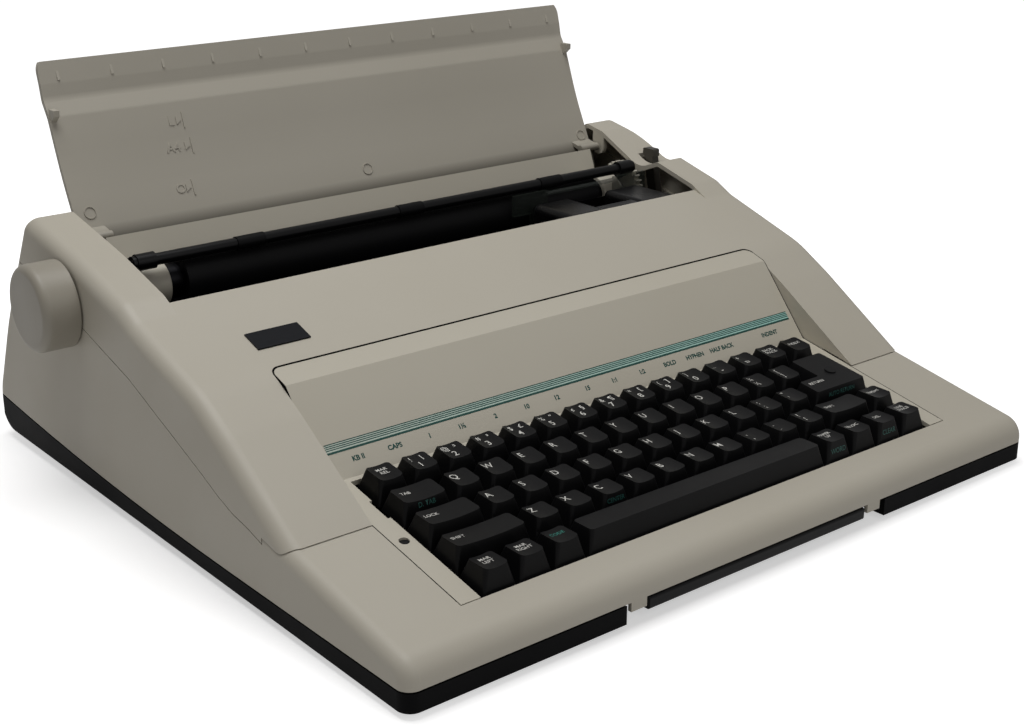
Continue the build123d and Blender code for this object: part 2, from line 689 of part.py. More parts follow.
def lid_hinge_pins():
    pins = []
    for side in (-1, 1):
        x0, x1 = sorted((side * (LID_HALF - HINGE_PIN_GRIP), side * (OPENING_HALF + EAR_SHEET)))
        pins.append(rod(HINGE_PIN_RADIUS, x0, x1, HINGE))
    return pins


# Frames, platen and paper path

def feed_axis():
    """Centre of the feed rollers, pressed up against the platen."""
    return turned(PLATEN, PLATEN_RADIUS + ROLLER_RADIUS + NIP, ROLLER_ANGLE)


def pinion_axis():
    distance = TOOTH_MODULE * (PLATEN_TEETH + PINION_TEETH) / 2 + GEAR_PLAY
    return turned(PLATEN, distance, FEED_MOTOR_ANGLE)


def motor_posts():
    y, z = pinion_axis()
    reach = FEED_MOTOR_RADIUS + 4
    return [(y + reach * 0.8, z - reach * 0.2), (y - reach * 0.2, z - reach * 0.9)]


def side_frame(side):
    """Steel side plate that carries platen, rods, rollers and bail."""
    points = [(FRAME_OUTLINE[0][0], FRAME_Z)] + FRAME_OUTLINE + [(FRAME_OUTLINE[-1][0], FRAME_Z)]
    x0, x1 = sorted((side * FRAME_X, side * FRAME_OUT))
    plate = slab(points, x0, x1, [4, 10, 10, 0, 4, 4, 10, 4])
    holes = [(PLATEN, BUSH_RADIUS), (FRONT_ROD, GUIDE_ROD_RADIUS), (REAR_ROD, GUIDE_ROD_RADIUS),
             (feed_axis(), ROLLER_SHAFT_RADIUS + RUNNING_FIT)]
    for centre, radius in holes:
        plate -= rod(radius, x0 - 1, x1 + 1, centre)
    a, b = sorted((side * FRAME_X, side * (BAIL_ARM_X + BAIL_ARM_SHEET + 0.5)))
    plate += rod(BAIL_STUD_RADIUS, a, b, BAIL_PIVOT)
    if side > 0:
        plate += rod(LEVER_STUD_RADIUS, FRAME_X, LEVER_X + LEVER_SHEET + 0.5, LEVER_PIVOT)
        plate += rod(LEVER_STUD_RADIUS + 2, FRAME_X, LEVER_X - 0.3, LEVER_PIVOT)
        for post in motor_posts():
            plate += rod(2.5, FRAME_X, FEED_MOTOR_X, post)
    return plate


def platen_bushes():
    bushes = []
    for side in (-1, 1):
        x0, x1 = sorted((side * (FRAME_X - 1.5), side * (FRAME_OUT + 1)))
        f0, f1 = sorted((side * (FRAME_X - 1.5), side * FRAME_X))
        bush = rod(BUSH_RADIUS, x0, x1, PLATEN) + rod(BUSH_FLANGE_RADIUS, f0, f1, PLATEN)
        bushes.append(bush - rod(SHAFT_RADIUS + RUNNING_FIT, x0 - 1, x1 + 1, PLATEN))
    return bushes


def platen_core():
    core = rod(PLATEN_RADIUS - RUBBER, -PLATEN_HALF, PLATEN_HALF, PLATEN)
    core += rod(CORE_HUB_RADIUS, -CORE_HALF, CORE_HALF, PLATEN)
    return core - rod(SHAFT_RADIUS, -CORE_HALF - 1, CORE_HALF + 1, PLATEN)


def platen_rubber():
    sleeve = rod(PLATEN_RADIUS, -PLATEN_HALF, PLATEN_HALF, PLATEN)
    return sleeve - rod(PLATEN_RADIUS - RUBBER, -PLATEN_HALF - 1, PLATEN_HALF + 1, PLATEN)


def platen_end_caps():
    caps = []
    for side in (-1, 1):
        x0, x1 = sorted((side * CORE_HALF, side * CAP_HALF))
        cap = rod(CAP_RADIUS, x0, x1, PLATEN)
        cap = fillet(cap.edges().filter_by(GeomType.CIRCLE), radius=0.8)
        caps.append(cap - rod(SHAFT_RADIUS, x0 - 1, x1 + 1, PLATEN))
    return caps


def platen_knob():
    """Large grey knob outside the left wall, with a recess round its hub on the inside."""
    knob = rod(KNOB_RADIUS, KNOB_OUTER_X, KNOB_INNER_X, PLATEN)
    rim = knob.edges().filter_by(GeomType.CIRCLE).sort_by(Axis.X)
    knob = fillet(rim[:1], radius=KNOB_EDGE_RADIUS)
    hollow = rod(KNOB_RADIUS - 3, KNOB_OUTER_X + 4, KNOB_INNER_X + 1, PLATEN)
    hollow -= rod(SHAFT_RADIUS + 4, KNOB_OUTER_X, KNOB_INNER_X + 2, PLATEN)
    knob -= hollow
    return knob - rod(SHAFT_RADIUS, KNOB_OUTER_X + 6, KNOB_INNER_X + 1, PLATEN)


def gear(teeth, x0, x1, centre, phase):
    """Spur gear with straight-sided teeth, one tooth at the phase angle."""
    pitch_radius = TOOTH_MODULE * teeth / 2
    root = pitch_radius - 1.25 * TOOTH_MODULE
    tip = pitch_radius + TOOTH_MODULE * 0.9
    step = 360.0 / teeth
    points = []
    for i in range(teeth):
        middle = phase + i * step
        for radius, part in ((root, -0.36), (tip, -0.14), (tip, 0.14), (root, 0.36)):
            points.append(turned(centre, radius, middle + part * step))
    return slab(points, x0, x1)


def platen_gear():
    """Feed gear on the right end, with the tooth nearest the pinion beside its gap."""
    wheel = gear(PLATEN_TEETH, GEAR_X, GEAR_X + GEAR_WIDTH, PLATEN, FEED_MOTOR_ANGLE)
    return wheel - rod(SHAFT_RADIUS, GEAR_X - 1, GEAR_X + GEAR_WIDTH + 1, PLATEN)


def feed_pinion():
    axis = pinion_axis()
    phase = FEED_MOTOR_ANGLE + 180 + 180.0 / PINION_TEETH
    wheel = gear(PINION_TEETH, GEAR_X, GEAR_X + GEAR_WIDTH, axis, phase)
    return wheel + rod(1.5, GEAR_X, FEED_MOTOR_X + 8, axis)


def feed_motor():
    y, z = pinion_axis()
    body = rod(FEED_MOTOR_RADIUS, FEED_MOTOR_X, FEED_MOTOR_X + FEED_MOTOR_LENGTH, (y, z))
    for post in motor_posts():
        body += link((y, z), post, 8, FEED_MOTOR_X, FEED_MOTOR_X + 1.5)
    return body - rod(1.5 + RUNNING_FIT, FEED_MOTOR_X - 1, FEED_MOTOR_X + 9, (y, z))


def feed_rollers():
    """Four rubber rollers on one shaft under the platen."""
    axis = feed_axis()
    shaft = rod(ROLLER_SHAFT_RADIUS, -FRAME_OUT - 1, FRAME_OUT + 1, axis)
    for x in ROLLERS_X:
        shaft += rod(ROLLER_RADIUS, x - ROLLER_LENGTH / 2, x + ROLLER_LENGTH / 2, axis)
    return shaft


def paper_pan():
    """Curved steel sheet under the platen, with a slot for each feed roller."""
    inner = PLATEN_RADIUS + PAN_GAP
    outer = inner + PAN_SHEET
    start, end = PAN_ANGLES
    middle = (start + end) / 2
    arcs = [ThreePointArc(turned(PLATEN, inner, start), turned(PLATEN, inner, middle),
                          turned(PLATEN, inner, end)),
            Line(turned(PLATEN, inner, end), turned(PLATEN, outer, end)),
            ThreePointArc(turned(PLATEN, outer, end), turned(PLATEN, outer, middle),
                          turned(PLATEN, outer, start)),
            Line(turned(PLATEN, outer, start), turned(PLATEN, inner, start))]
    face = make_face(Curve() + arcs)
    pan = extrude(Plane.YZ * face, amount=FRAME_X, both=True)
    y, z = feed_axis()
    room = ROLLER_RADIUS + 1.2
    for x in ROLLERS_X:
        reach = ROLLER_LENGTH / 2 + 1.2
        pan -= block(x - reach, x + reach, y - room, y + room, z - room, z + room)
    return pan


def paper_table():
    """Grey plate behind the platen, standing on the side frames."""
    table = slab(strip([TABLE_FOOT, TABLE_TOP], TABLE_SHEET), -TABLE_HALF, TABLE_HALF)
    return table - block(-HALF, HALF, 290, 305, TABLE_FOOT[1] - 2, TABLE_FOOT[1])


def bail_bar():
    """Round bar that holds the paper to the platen, pressed into two flat arms."""
    bar = rod(BAIL_RADIUS, -BAIL_ARM_X, BAIL_ARM_X, BAIL)
    bar += rod(BAIL_END_RADIUS, -BAIL_HALF, BAIL_HALF, BAIL)
    arms = []
    for side in (-1, 1):
        x0, x1 = sorted((side * BAIL_ARM_X, side * (BAIL_ARM_X + BAIL_ARM_SHEET)))
        arm = link(BAIL_PIVOT, BAIL, BAIL_ARM_WIDTH, x0, x1)
        arm -= rod(BAIL_STUD_RADIUS + RUNNING_FIT, x0 - 1, x1 + 1, BAIL_PIVOT)
        arms.append(arm - rod(BAIL_END_RADIUS, x0 - 1, x1 + 1, BAIL))
        x0, x1 = sorted((side * BAIL_ARM_X, side * (BAIL_ARM_X - 10)))
        bar += rod(BAIL_RADIUS + 1.2, x0, x1, BAIL)
    return [bar] + arms


def bail_rollers():
    rollers = []
    for x in BAIL_ROLLERS_X:
        half = BAIL_ROLLER_LENGTH / 2
        roller = rod(BAIL_ROLLER_RADIUS, x - half, x + half, BAIL)
        rollers.append(roller - rod(BAIL_RADIUS + RUNNING_FIT, x - half - 1, x + half + 1, BAIL))
    return rollers


def release_lever():
    """Paper release lever, up through the scoop in the right shoulder."""
    y0, y1, z0, z1 = LEVER_TIP
    end = LEVER_X + LEVER_SHEET
    lever = link(LEVER_PIVOT, ((y0 + y1) / 2, z0), LEVER_BAR, LEVER_X, end)
    tip = slab([(y0, z0), (y0, z1), (y1, z1), (y1, z0)], LEVER_X, end, [0, 1.2, 1.2, 0])
    lever += tip + rod(LEVER_STUD_RADIUS + 3, LEVER_X, end, LEVER_PIVOT)
    return lever - rod(LEVER_STUD_RADIUS + RUNNING_FIT, LEVER_X - 1, end + 1, LEVER_PIVOT)


# Print carriage and its drive

def carriage_frame():
    """Two cheeks on the guide rods, joined by a cross plate with a belt clamp."""
    centre = CARRIAGE_X
    front = BELT_Y + BELT_WIDTH + 0.6
    outline = [(front, 52.0), (front, 72.0), (218.0, CARRIAGE_TOP), (252.0, CARRIAGE_TOP),
               (252.0, 32.0), (230.0, 32.0)]
    frame = None
    for side in (-1, 1):
        x0, x1 = sorted((centre + side * CARRIAGE_HALF,
                         centre + side * (CARRIAGE_HALF - CARRIAGE_SHEET)))
        cheek = slab(outline, x0, x1, [4, 4, 4, 3, 4, 4])
        frame = cheek if frame is None else frame + cheek
    back = CROSS_Y + CROSS_SHEET
    frame += block(centre - CARRIAGE_HALF, centre + CARRIAGE_HALF, CROSS_Y, back, 46, 82)
    frame += block(centre - 12, centre + 12, CROSS_Y, back, 80, 101)
    belt_top = PULLEY_Z + PULLEY_RADIUS + BELT_PLAY + BELT_SHEET
    frame += block(centre - 8, centre + 8, BELT_Y, CROSS_Y + 1, belt_top + 0.3, belt_top + 3.3)
    for side in (-1, 1):
        x0, x1 = sorted((centre + side * 32.5, centre + side * CARRIAGE_HALF))
        frame += block(x0, x1, 250, CARD_Y + CARD_SHEET / 2, 76, CARRIAGE_TOP)
    for centre_point in (FRONT_ROD, REAR_ROD):
        frame -= rod(GUIDE_ROD_RADIUS + RUNNING_FIT, centre - 60, centre + 60, centre_point)
    return frame - rod_y(WHEEL_SHAFT_RADIUS + 1, centre, CROSS_Y - 1, back + 1, WHEEL_Z)


def card_holder():
    """Clear plate pair in front of the platen, with a rod across."""
    y1 = CARD_Y + CARD_SHEET
    arms = []
    for side in (-1, 1):
        x0, x1 = sorted((CARRIAGE_X + side * 26, CARRIAGE_X + side * 51))
        plate = block(x0, x1, CARD_Y, y1, 100, 112)
        a, b = sorted((CARRIAGE_X + side * 33, CARRIAGE_X + side * CARRIAGE_HALF))
        arms.append(plate + block(a, b, CARD_Y + CARD_SHEET / 2, y1, 76, 101))
    bar = rod(1.3, CARRIAGE_X - 27, CARRIAGE_X + 27, (CARD_Y + CARD_SHEET + 0.3, 109.5))
    return arms[0] + arms[1] + bar


def wheel_motor():
    start = CROSS_Y + CROSS_SHEET
    body = rod_y(WHEEL_MOTOR_RADIUS, CARRIAGE_X, start, start + 25, WHEEL_Z)
    return body - rod_y(WHEEL_SHAFT_RADIUS + RUNNING_FIT, CARRIAGE_X, start + 5, start + 26,
                        WHEEL_Z)


def type_wheel():
    """Print wheel: thin petals round a hub, on its motor's shaft."""
    face = Circle(WHEEL_HUB_RADIUS)
    length = WHEEL_RADIUS - WHEEL_HUB_RADIUS + 2
    middle = WHEEL_RADIUS - length / 2
    petals = [Rot(0, 0, i * 360 / PETALS) * Pos(middle, 0) * Rectangle(length, PETAL_WIDTH)
              for i in range(PETALS)]
    face = face + petals
    wheel = Pos(CARRIAGE_X, WHEEL_Y + WHEEL_SHEET, WHEEL_Z) * Rot(90, 0, 0)
    wheel = wheel * extrude(face, amount=WHEEL_SHEET)
    start = CROSS_Y + CROSS_SHEET + 6
    return wheel + rod_y(WHEEL_SHAFT_RADIUS, CARRIAGE_X, start, WHEEL_Y + 0.5, WHEEL_Z)


def print_hammer():
    start = CROSS_Y + CROSS_SHEET
    body = rod_y(HAMMER_RADIUS, CARRIAGE_X, start, start + 20, 95)
    return body + rod_y(1.2, CARRIAGE_X, start + 19, WHEEL_Y - 1.0, 97)


def ribbon_cassette():
    """Cassette with a lobe on each side of the hammer, and its ribbon across the front."""
    low = CARRIAGE_TOP
    front = OPENING_FRONT_Y + CASSETTE_PLAY
    cassette = block(CARRIAGE_X - CASSETTE_OUTER + 5, CARRIAGE_X + CASSETTE_OUTER - 5, front,
                     front + 10, CASSETTE_TOP - 5, CASSETTE_TOP - 1)
    for side in (-1, 1):
        x0, x1 = sorted((CARRIAGE_X + side * CASSETTE_INNER, CARRIAGE_X + side * CASSETTE_OUTER))
        outline = [(front, low), (front, CASSETTE_TOP), (CASSETTE_REAR_Y, CASSETTE_TOP),
                   (CASSETTE_REAR_Y, low)]
        lobe = slab(outline, x0, x1, [2, 2, 3, 3])
        corners = lobe.edges().filter_by(Axis.Z)
        cassette += fillet(corners, radius=4)
        x0, x1 = sorted((CARRIAGE_X + side * 29, CARRIAGE_X + side * 32))
        cassette += block(x0, x1, CASSETTE_REAR_Y - 1, CASSETTE_REAR_Y + 2.8, 91, 104)
    y = CASSETTE_REAR_Y + 2.4
    return cassette + block(CARRIAGE_X - 30, CARRIAGE_X + 30, y, y + 0.4, 93, 102)


def drive_belt():
    """Belt loop round both pulleys."""
    span = IDLER_X - DRIVE_X
    inner = PULLEY_RADIUS + BELT_PLAY
    loop = SlotCenterToCenter(span, 2 * (inner + BELT_SHEET)) - SlotCenterToCenter(span, 2 * inner)
    middle = (DRIVE_X + IDLER_X) / 2
    place = Pos(middle, BELT_Y + BELT_WIDTH, PULLEY_Z) * Rot(90, 0, 0)
    return place * extrude(loop, amount=BELT_WIDTH)


def pulley(x):
    return rod_y(PULLEY_RADIUS, x, BELT_Y - 0.5, BELT_Y + BELT_WIDTH + 0.5, PULLEY_Z)


def drive_pulley():
    return pulley(DRIVE_X) + rod_y(DRIVE_SHAFT_RADIUS, DRIVE_X, BRACKET_Y - 8, BELT_Y, PULLEY_Z)


def idler_pulley():
    bore = DRIVE_SHAFT_RADIUS + RUNNING_FIT
    end = BELT_Y + BELT_WIDTH + 2
    return pulley(IDLER_X) - rod_y(bore, IDLER_X, BELT_Y - 2, end, PULLEY_Z)


def belt_brackets():
    """Upright plates for the drive motor and the idler, on the base."""
    back = BRACKET_Y + BRACKET_SHEET
    brackets = []
    for x in (DRIVE_X, IDLER_X):
        plate = block(x - 20, x + 20, BRACKET_Y, back, FRAME_Z, PULLEY_Z + 14)
        foot = block(x - 12, x + 12, BRACKET_Y - 3, back + 3, FRAME_Z, FRAME_Z + 2)
        brackets.append(plate + foot)
    bore = DRIVE_SHAFT_RADIUS + RUNNING_FIT
    brackets[0] -= rod_y(bore, DRIVE_X, BRACKET_Y - 1, back + 1, PULLEY_Z)
    end = BELT_Y + BELT_WIDTH + 1.2
    brackets[1] += rod_y(DRIVE_SHAFT_RADIUS, IDLER_X, BRACKET_Y, end, PULLEY_Z)
    return brackets


def drive_motor():
    body = rod_y(DRIVE_MOTOR_RADIUS, DRIVE_X, BRACKET_Y - DRIVE_MOTOR_LENGTH, BRACKET_Y, PULLEY_Z)
    bore = DRIVE_SHAFT_RADIUS + RUNNING_FIT
    return body - rod_y(bore, DRIVE_X, BRACKET_Y - 9, BRACKET_Y + 1, PULLEY_Z)


# Keyboard

def keyboard(shape):
    """Place a shape drawn with x across, y up the slope and z out of the deck."""
    return Pos(0, *KEY_ORIGIN) * Rot(DECK_ANGLE, 0, 0) * shape


def key_x(column):
    return (column - KEYS_WIDE / 2) * KEY_PITCH


cap_store = {}


def key_cap(row, width):
    """One key, drawn with the front left corner of its cell at the origin."""
    if (row, width) not in cap_store:
        cell = width * KEY_PITCH
        cap_store[(row, width)] = make_cap(row, cell)
    return cap_store[(row, width)]


def make_cap(row, cell):
    inset, depth, front, rise = KEY_ROWS[row]
    bottom = (cell - 2 * KEY_GAP, ROW_PITCH - 2 * KEY_GAP)
    top = (cell - 2 * KEY_TOP_INSET, math.hypot(depth, rise))
    tilt = math.degrees(math.atan2(rise, depth))
    place = Pos(cell / 2, inset + depth / 2, front + rise / 2) * Rot(tilt, 0, 0)
    base = Pos(cell / 2, ROW_PITCH / 2, KEY_BOTTOM)
    wall = KEY_WALL
    cap = loft([base * RectangleRounded(*bottom, KEY_ROUND), place * RectangleRounded(*top, 2)])
    low = Pos(0, 0, -0.01) * base
    high = Pos(0, 0, -1.2 * wall) * place
    hollow = loft([low * RectangleRounded(bottom[0] - 2 * wall, bottom[1] - 2 * wall, 0.6),
                   high * RectangleRounded(top[0] - 2 * wall, top[1] - 2 * wall, 0.6)])
    for x in stem_places(cell):
        hollow -= rod_z(STEM_RADIUS, x, ROW_PITCH / 2, STEM_BOTTOM, front + rise)
    cap -= hollow
    if cell < 4 * KEY_PITCH:
        radius = (top[0] ** 2 / 4 + DISH_DEPTH ** 2) / (2 * DISH_DEPTH)
        dish = place * Pos(0, 0, radius - DISH_DEPTH) * Rot(90, 0, 0) * Cylinder(radius, 40)
        cap -= dish
    for x in stem_places(cell):
        cap += rod_z(STEM_RADIUS, x, ROW_PITCH / 2, STEM_BOTTOM, KEY_BOTTOM + 3)
    return cap


def stem_places(cell):
    """Stems of one key: one in the middle, and one near each end of a long bar."""
    if cell < 4 * KEY_PITCH:
        return [cell / 2]
    return [cell / 2 - 2.5 * KEY_PITCH, cell / 2, cell / 2 + 2.5 * KEY_PITCH]


def return_cap():
    """The return key, a reversed L over two rows, drawn from its left lower corner."""
    long = 2.25 * KEY_PITCH
    short = 1.5 * KEY_PITCH
    low = KEY_ROWS[2]
    high = KEY_ROWS[3]
    rear = ROW_PITCH + high[0] + high[1]
    rise = high[2] + high[3] - low[2]
    tilt = math.degrees(math.atan2(rise, rear - low[0]))

    def outline(side, front, back, ledge):
        left = long - short + side
        points = [(side, front), (long - side, front), (long - side, back), (left, back),
                  (left, ledge), (side, ledge)]
        return make_face(FilletPolyline(*points, radius=KEY_ROUND, close=True))

    def body(shrink, drop):
        base = outline(KEY_GAP + shrink, KEY_GAP + shrink, 2 * ROW_PITCH - KEY_GAP - shrink,
                       ROW_PITCH - KEY_GAP - shrink)
        crown = outline(KEY_TOP_INSET + shrink, low[0] + shrink, rear - shrink,
                        low[0] + low[1] - shrink)
        place = Pos(0, low[0], low[2] - drop) * Rot(tilt, 0, 0) * Pos(0, -low[0], 0)
        return loft([Pos(0, 0, KEY_BOTTOM) * base, place * crown])

    cap = body(0, 0) - body(KEY_WALL, 1.2 * KEY_WALL)
    cap -= Pos(0, 0, KEY_BOTTOM) * extrude(
        outline(KEY_GAP + KEY_WALL, KEY_GAP + KEY_WALL, 2 * ROW_PITCH - KEY_GAP - KEY_WALL,
                ROW_PITCH - KEY_GAP - KEY_WALL), amount=0.05)
    return cap + rod_z(STEM_RADIUS, long - short / 2, ROW_PITCH, STEM_BOTTOM, low[2])


def key_table():
    """Every key but the return key: its node, row, first column and width in units."""
    keys = [("margin_left_key", 0, 0, 1), ("margin_right_key", 0, 1, 1), ("code_key", 0, 2, 1),
            ("space_bar", 0, 3, 8)]
    keys += [("edit_keys", 0, 11 + i, 1) for i in range(4)]
    keys += [("left_shift_key", 1, 0, 2.25)]
    keys += [("bottom_letter_keys", 1, 2.25 + i, 1) for i in range(10)]
    keys += [("right_shift_key", 1, 12.25, 1.75), ("edit_keys", 1, 14, 1)]
    keys += [("lock_key", 2, 0, 1.75)]
    keys += [("home_letter_keys", 2, 1.75 + i, 1) for i in range(11)]
    keys += [("tab_key", 3, 0, 1.5)]
    keys += [("top_letter_keys", 3, 1.5 + i, 1) for i in range(12)]
    keys += [("margin_release_key", 4, 0, 1)]
    keys += [("number_keys", 4, 1 + i, 1) for i in range(12)]
    keys += [("backspace_key", 4, 13, 1), ("edit_keys", 4, 14, 1)]
    return keys


RETURN_COLUMN = 12.75
RETURN_ROW = 2


def stems():
    """Middle of every stem across and up the slope."""
    places = []
    for name, row, column, width in key_table():
        for x in stem_places(width * KEY_PITCH):
            places.append((key_x(column) + x, (row + 0.5) * ROW_PITCH))
    x = key_x(RETURN_COLUMN) + (2.25 - 0.75) * KEY_PITCH
    places.append((x, (RETURN_ROW + 1) * ROW_PITCH))
    return places


def export_keys():
    nodes = {}
    for name, row, column, width in key_table():
        cap = Pos(key_x(column), row * ROW_PITCH, 0) * key_cap(row, width)
        nodes.setdefault(name, []).append(keyboard(cap))
    low = Pos(key_x(RETURN_COLUMN), RETURN_ROW * ROW_PITCH, 0)
    nodes["return_key"] = [keyboard(low * return_cap())]
    for name, caps in nodes.items():
        export_node(name, *caps)


def keyboard_sheet(top, thickness, margin):
    """A flat sheet under the whole key block."""
    width = KEYS_WIDE * KEY_PITCH + 2 * margin
    depth = len(KEY_ROWS) * ROW_PITCH
    return Pos(0, depth / 2, top - thickness / 2) * Box(width, depth, thickness)


def key_frame():
    """Moulded plate with a square guide and a bore for every stem."""
    squares = Sketch() + [Pos(x, u) * Rectangle(GUIDE_SQUARE, GUIDE_SQUARE) for x, u in stems()]
    holes = Sketch() + [Pos(x, u) * Circle(STEM_RADIUS + GUIDE_PLAY) for x, u in stems()]
    guides = extrude(Pos(0, 0, GUIDE_BOTTOM) * (squares - holes), amount=GUIDE_TOP - GUIDE_BOTTOM)
    plate = keyboard_sheet(GUIDE_BOTTOM + GUIDE_PLATE, GUIDE_PLATE, GUIDE_MARGIN)
    plate -= extrude(Pos(0, 0, GUIDE_BOTTOM - 1) * holes, amount=GUIDE_PLATE + 2)
    frame = plate + guides
    half = KEYS_WIDE * KEY_PITCH / 2
    depth = len(KEY_ROWS) * ROW_PITCH
    for side in (-1, 1):
        height = GUIDE_BOTTOM + GUIDE_PLATE / 2 - BOARD_TOP
        pad = Pos(side * (half + GUIDE_MARGIN / 2), depth / 2, BOARD_TOP + height / 2)
        frame += pad * Box(GUIDE_MARGIN, depth, height)
    return keyboard(frame)


# Handle, base fittings and electronics

def carry_handle():
    """Pull-out handle: a bar on two flat arms with a stop at each end."""
    y0, y1 = HANDLE_BAR_Y
    z0, z1 = HANDLE_BAR_Z
    bar = block(-HANDLE_HALF, HANDLE_HALF, y0, y1, z0, z1)
    bar = fillet(bar.edges().filter_by(Axis.X), radius=1.5)
    for x in HANDLE_ARMS_X:
        half = HANDLE_ARM / 2
        bar += block(x - half, x + half, y1 - 2, HANDLE_ARM_END_Y, *HANDLE_ARM_Z)
        out, length = HANDLE_STOP
        end = HANDLE_ARM_END_Y
        bar += block(x - half - out, x + half + out, end - length, end, *HANDLE_ARM_Z)
    return bar


def handle_guides():
    """Bridges over the handle's arms, moulded on the base's floor."""
    guides = []
    y0, y1 = HANDLE_GUIDE_Y
    z0, z1 = HANDLE_ARM_Z
    floor = bottom_z(y0) + 1
    room = HANDLE_ARM / 2 + HANDLE_CLEARANCE
    for x in HANDLE_ARMS_X:
        bridge = block(x - room - 2, x + room + 2, y0, y1, floor, z1 + HANDLE_CLEARANCE + 1.5)
        guides.append(bridge - block(x - room, x + room, y0 - 1, y1 + 1, floor - 1,
                                     z1 + HANDLE_CLEARANCE))
    return guides


def rubber_feet():
    feet = []
    for x, y in FEET:
        foot = rod_z(FOOT_RADIUS - 0.1, x, y, 0, bottom_z(y) + FOOT_SEAT)
        feet.append(chamfer(foot.edges().sort_by(Axis.Z)[0], length=0.6))
    return feet


def case_screws():
    screws = []
    for x, y in CASE_SCREWS:
        seat = bottom_z(y) + SCREW_SINK
        head = rod_z(SCREW_HEAD_RADIUS, x, y, seat - SCREW_HEAD_HEIGHT, seat)
        screws.append(head + rod_z(SCREW_RADIUS, x, y, seat - 0.5, CASE_SCREW_TOP))
    x, y = PANEL_SCREW
    seat = deck_z(y) - PANEL_SCREW_SINK
    head = rod_z(PANEL_SCREW_HEAD - 0.1, x, y, seat, seat + 1)
    screws.append(head + rod_z(PANEL_SCREW_RADIUS, x, y, seat - 3.5, seat + 0.5))
    return screws


def main_board():
    """Control board with its chips and connector."""
    x, y, width, depth = BOARD
    board = block(x - width / 2, x + width / 2, y - depth / 2, y + depth / 2, BOARD_Z, BOARD_Z + 1.6)
    top = BOARD_Z + 1.6
    chips = [(-50, 8, 40, 14, 4), (0, -10, 36, 14, 4), (45, 6, 20, 9, 3.5), (55, -16, 30, 6, 9)]
    for dx, dy, length, across, height in chips:
        board += block(x + dx - length / 2, x + dx + length / 2, y + dy - across / 2,
                       y + dy + across / 2, top - 0.1, top + height)
    return board


def transformer():
    """Mains transformer: iron core with its winding."""
    x, y, width, depth = TRANSFORMER
    top = TRANSFORMER_Z + TRANSFORMER_HEIGHT
    core = block(x - width / 2, x + width / 2, y - 8, y + 8, TRANSFORMER_Z, top)
    winding = block(x - width / 4, x + width / 4, y - depth / 2, y + depth / 2 - 8,
                    TRANSFORMER_Z + 6, top - 6)
    winding = fillet(winding.edges().filter_by(Axis.Z), radius=5)
    return core + winding


def power_inlet():
    """Mains inlet with three pins, flush with the right side."""
    body = side_box(INLET_Y, INLET_SIZE, INLET_LENGTH)
    body -= side_box(INLET_Y, INLET_SOCKET, INLET_SOCKET_DEPTH, 1)
    floor = HALF - INLET_SOCKET_DEPTH
    for dy, dz in ((-6.0, -1.5), (0.0, 2.0), (6.0, -1.5)):
        y = INLET_Y + dy
        z = SIDE_PART_Z + dz
        thick, tall = INLET_PIN
        body += block(floor - 1, HALF - 4, y - thick / 2, y + thick / 2, z - tall / 2, z + tall / 2)
    return body


def switch_housing():
    """Body of the mains switch with its open well and pivot pin."""
    body = side_box(SWITCH_Y, SWITCH_SIZE, SWITCH_LENGTH)
    body -= side_box(SWITCH_Y, SWITCH_WELL, SWITCH_WELL_DEPTH, 1)
    x = HALF - ROCKER_PIVOT_DEPTH
    half = SWITCH_WELL[0] / 2 + 1
    return body + rod_y(ROCKER_PIN_RADIUS, x, SWITCH_Y - half, SWITCH_Y + half, SIDE_PART_Z)


def switch_rocker():
    """Rocker on the pin, drawn in its off position."""
    tall = ROCKER_HALF
    outline = Polyline((-3.5, -2), (-1, -tall), (6, -tall), (4.2, 0), (6, tall), (-1, tall),
                       (-3.5, 2), close=True)
    rocker = extrude(Plane.XZ * make_face(outline), amount=ROCKER_WIDTH / 2, both=True)
    rocker -= Rot(90, 0, 0) * Cylinder(ROCKER_PIN_RADIUS + RUNNING_FIT, ROCKER_WIDTH + 2)
    place = Pos(HALF - ROCKER_PIVOT_DEPTH, SWITCH_Y, SIDE_PART_Z)
    return place * Rot(0, -ROCKER_TILT, 0) * rocker


def export_body():
    shell = outer_body() - outer_body(WALL)
    inside = outer_body(WALL / 2)
    export_node("bottom_case", bottom_case(shell))
    export_node("lower_cover", lower_cover(shell, inside))
    export_node("upper_cover", upper_cover(shell))
    export_node("keyboard_panel", keyboard_panel())
    export_node("badge_plate", badge_plate())


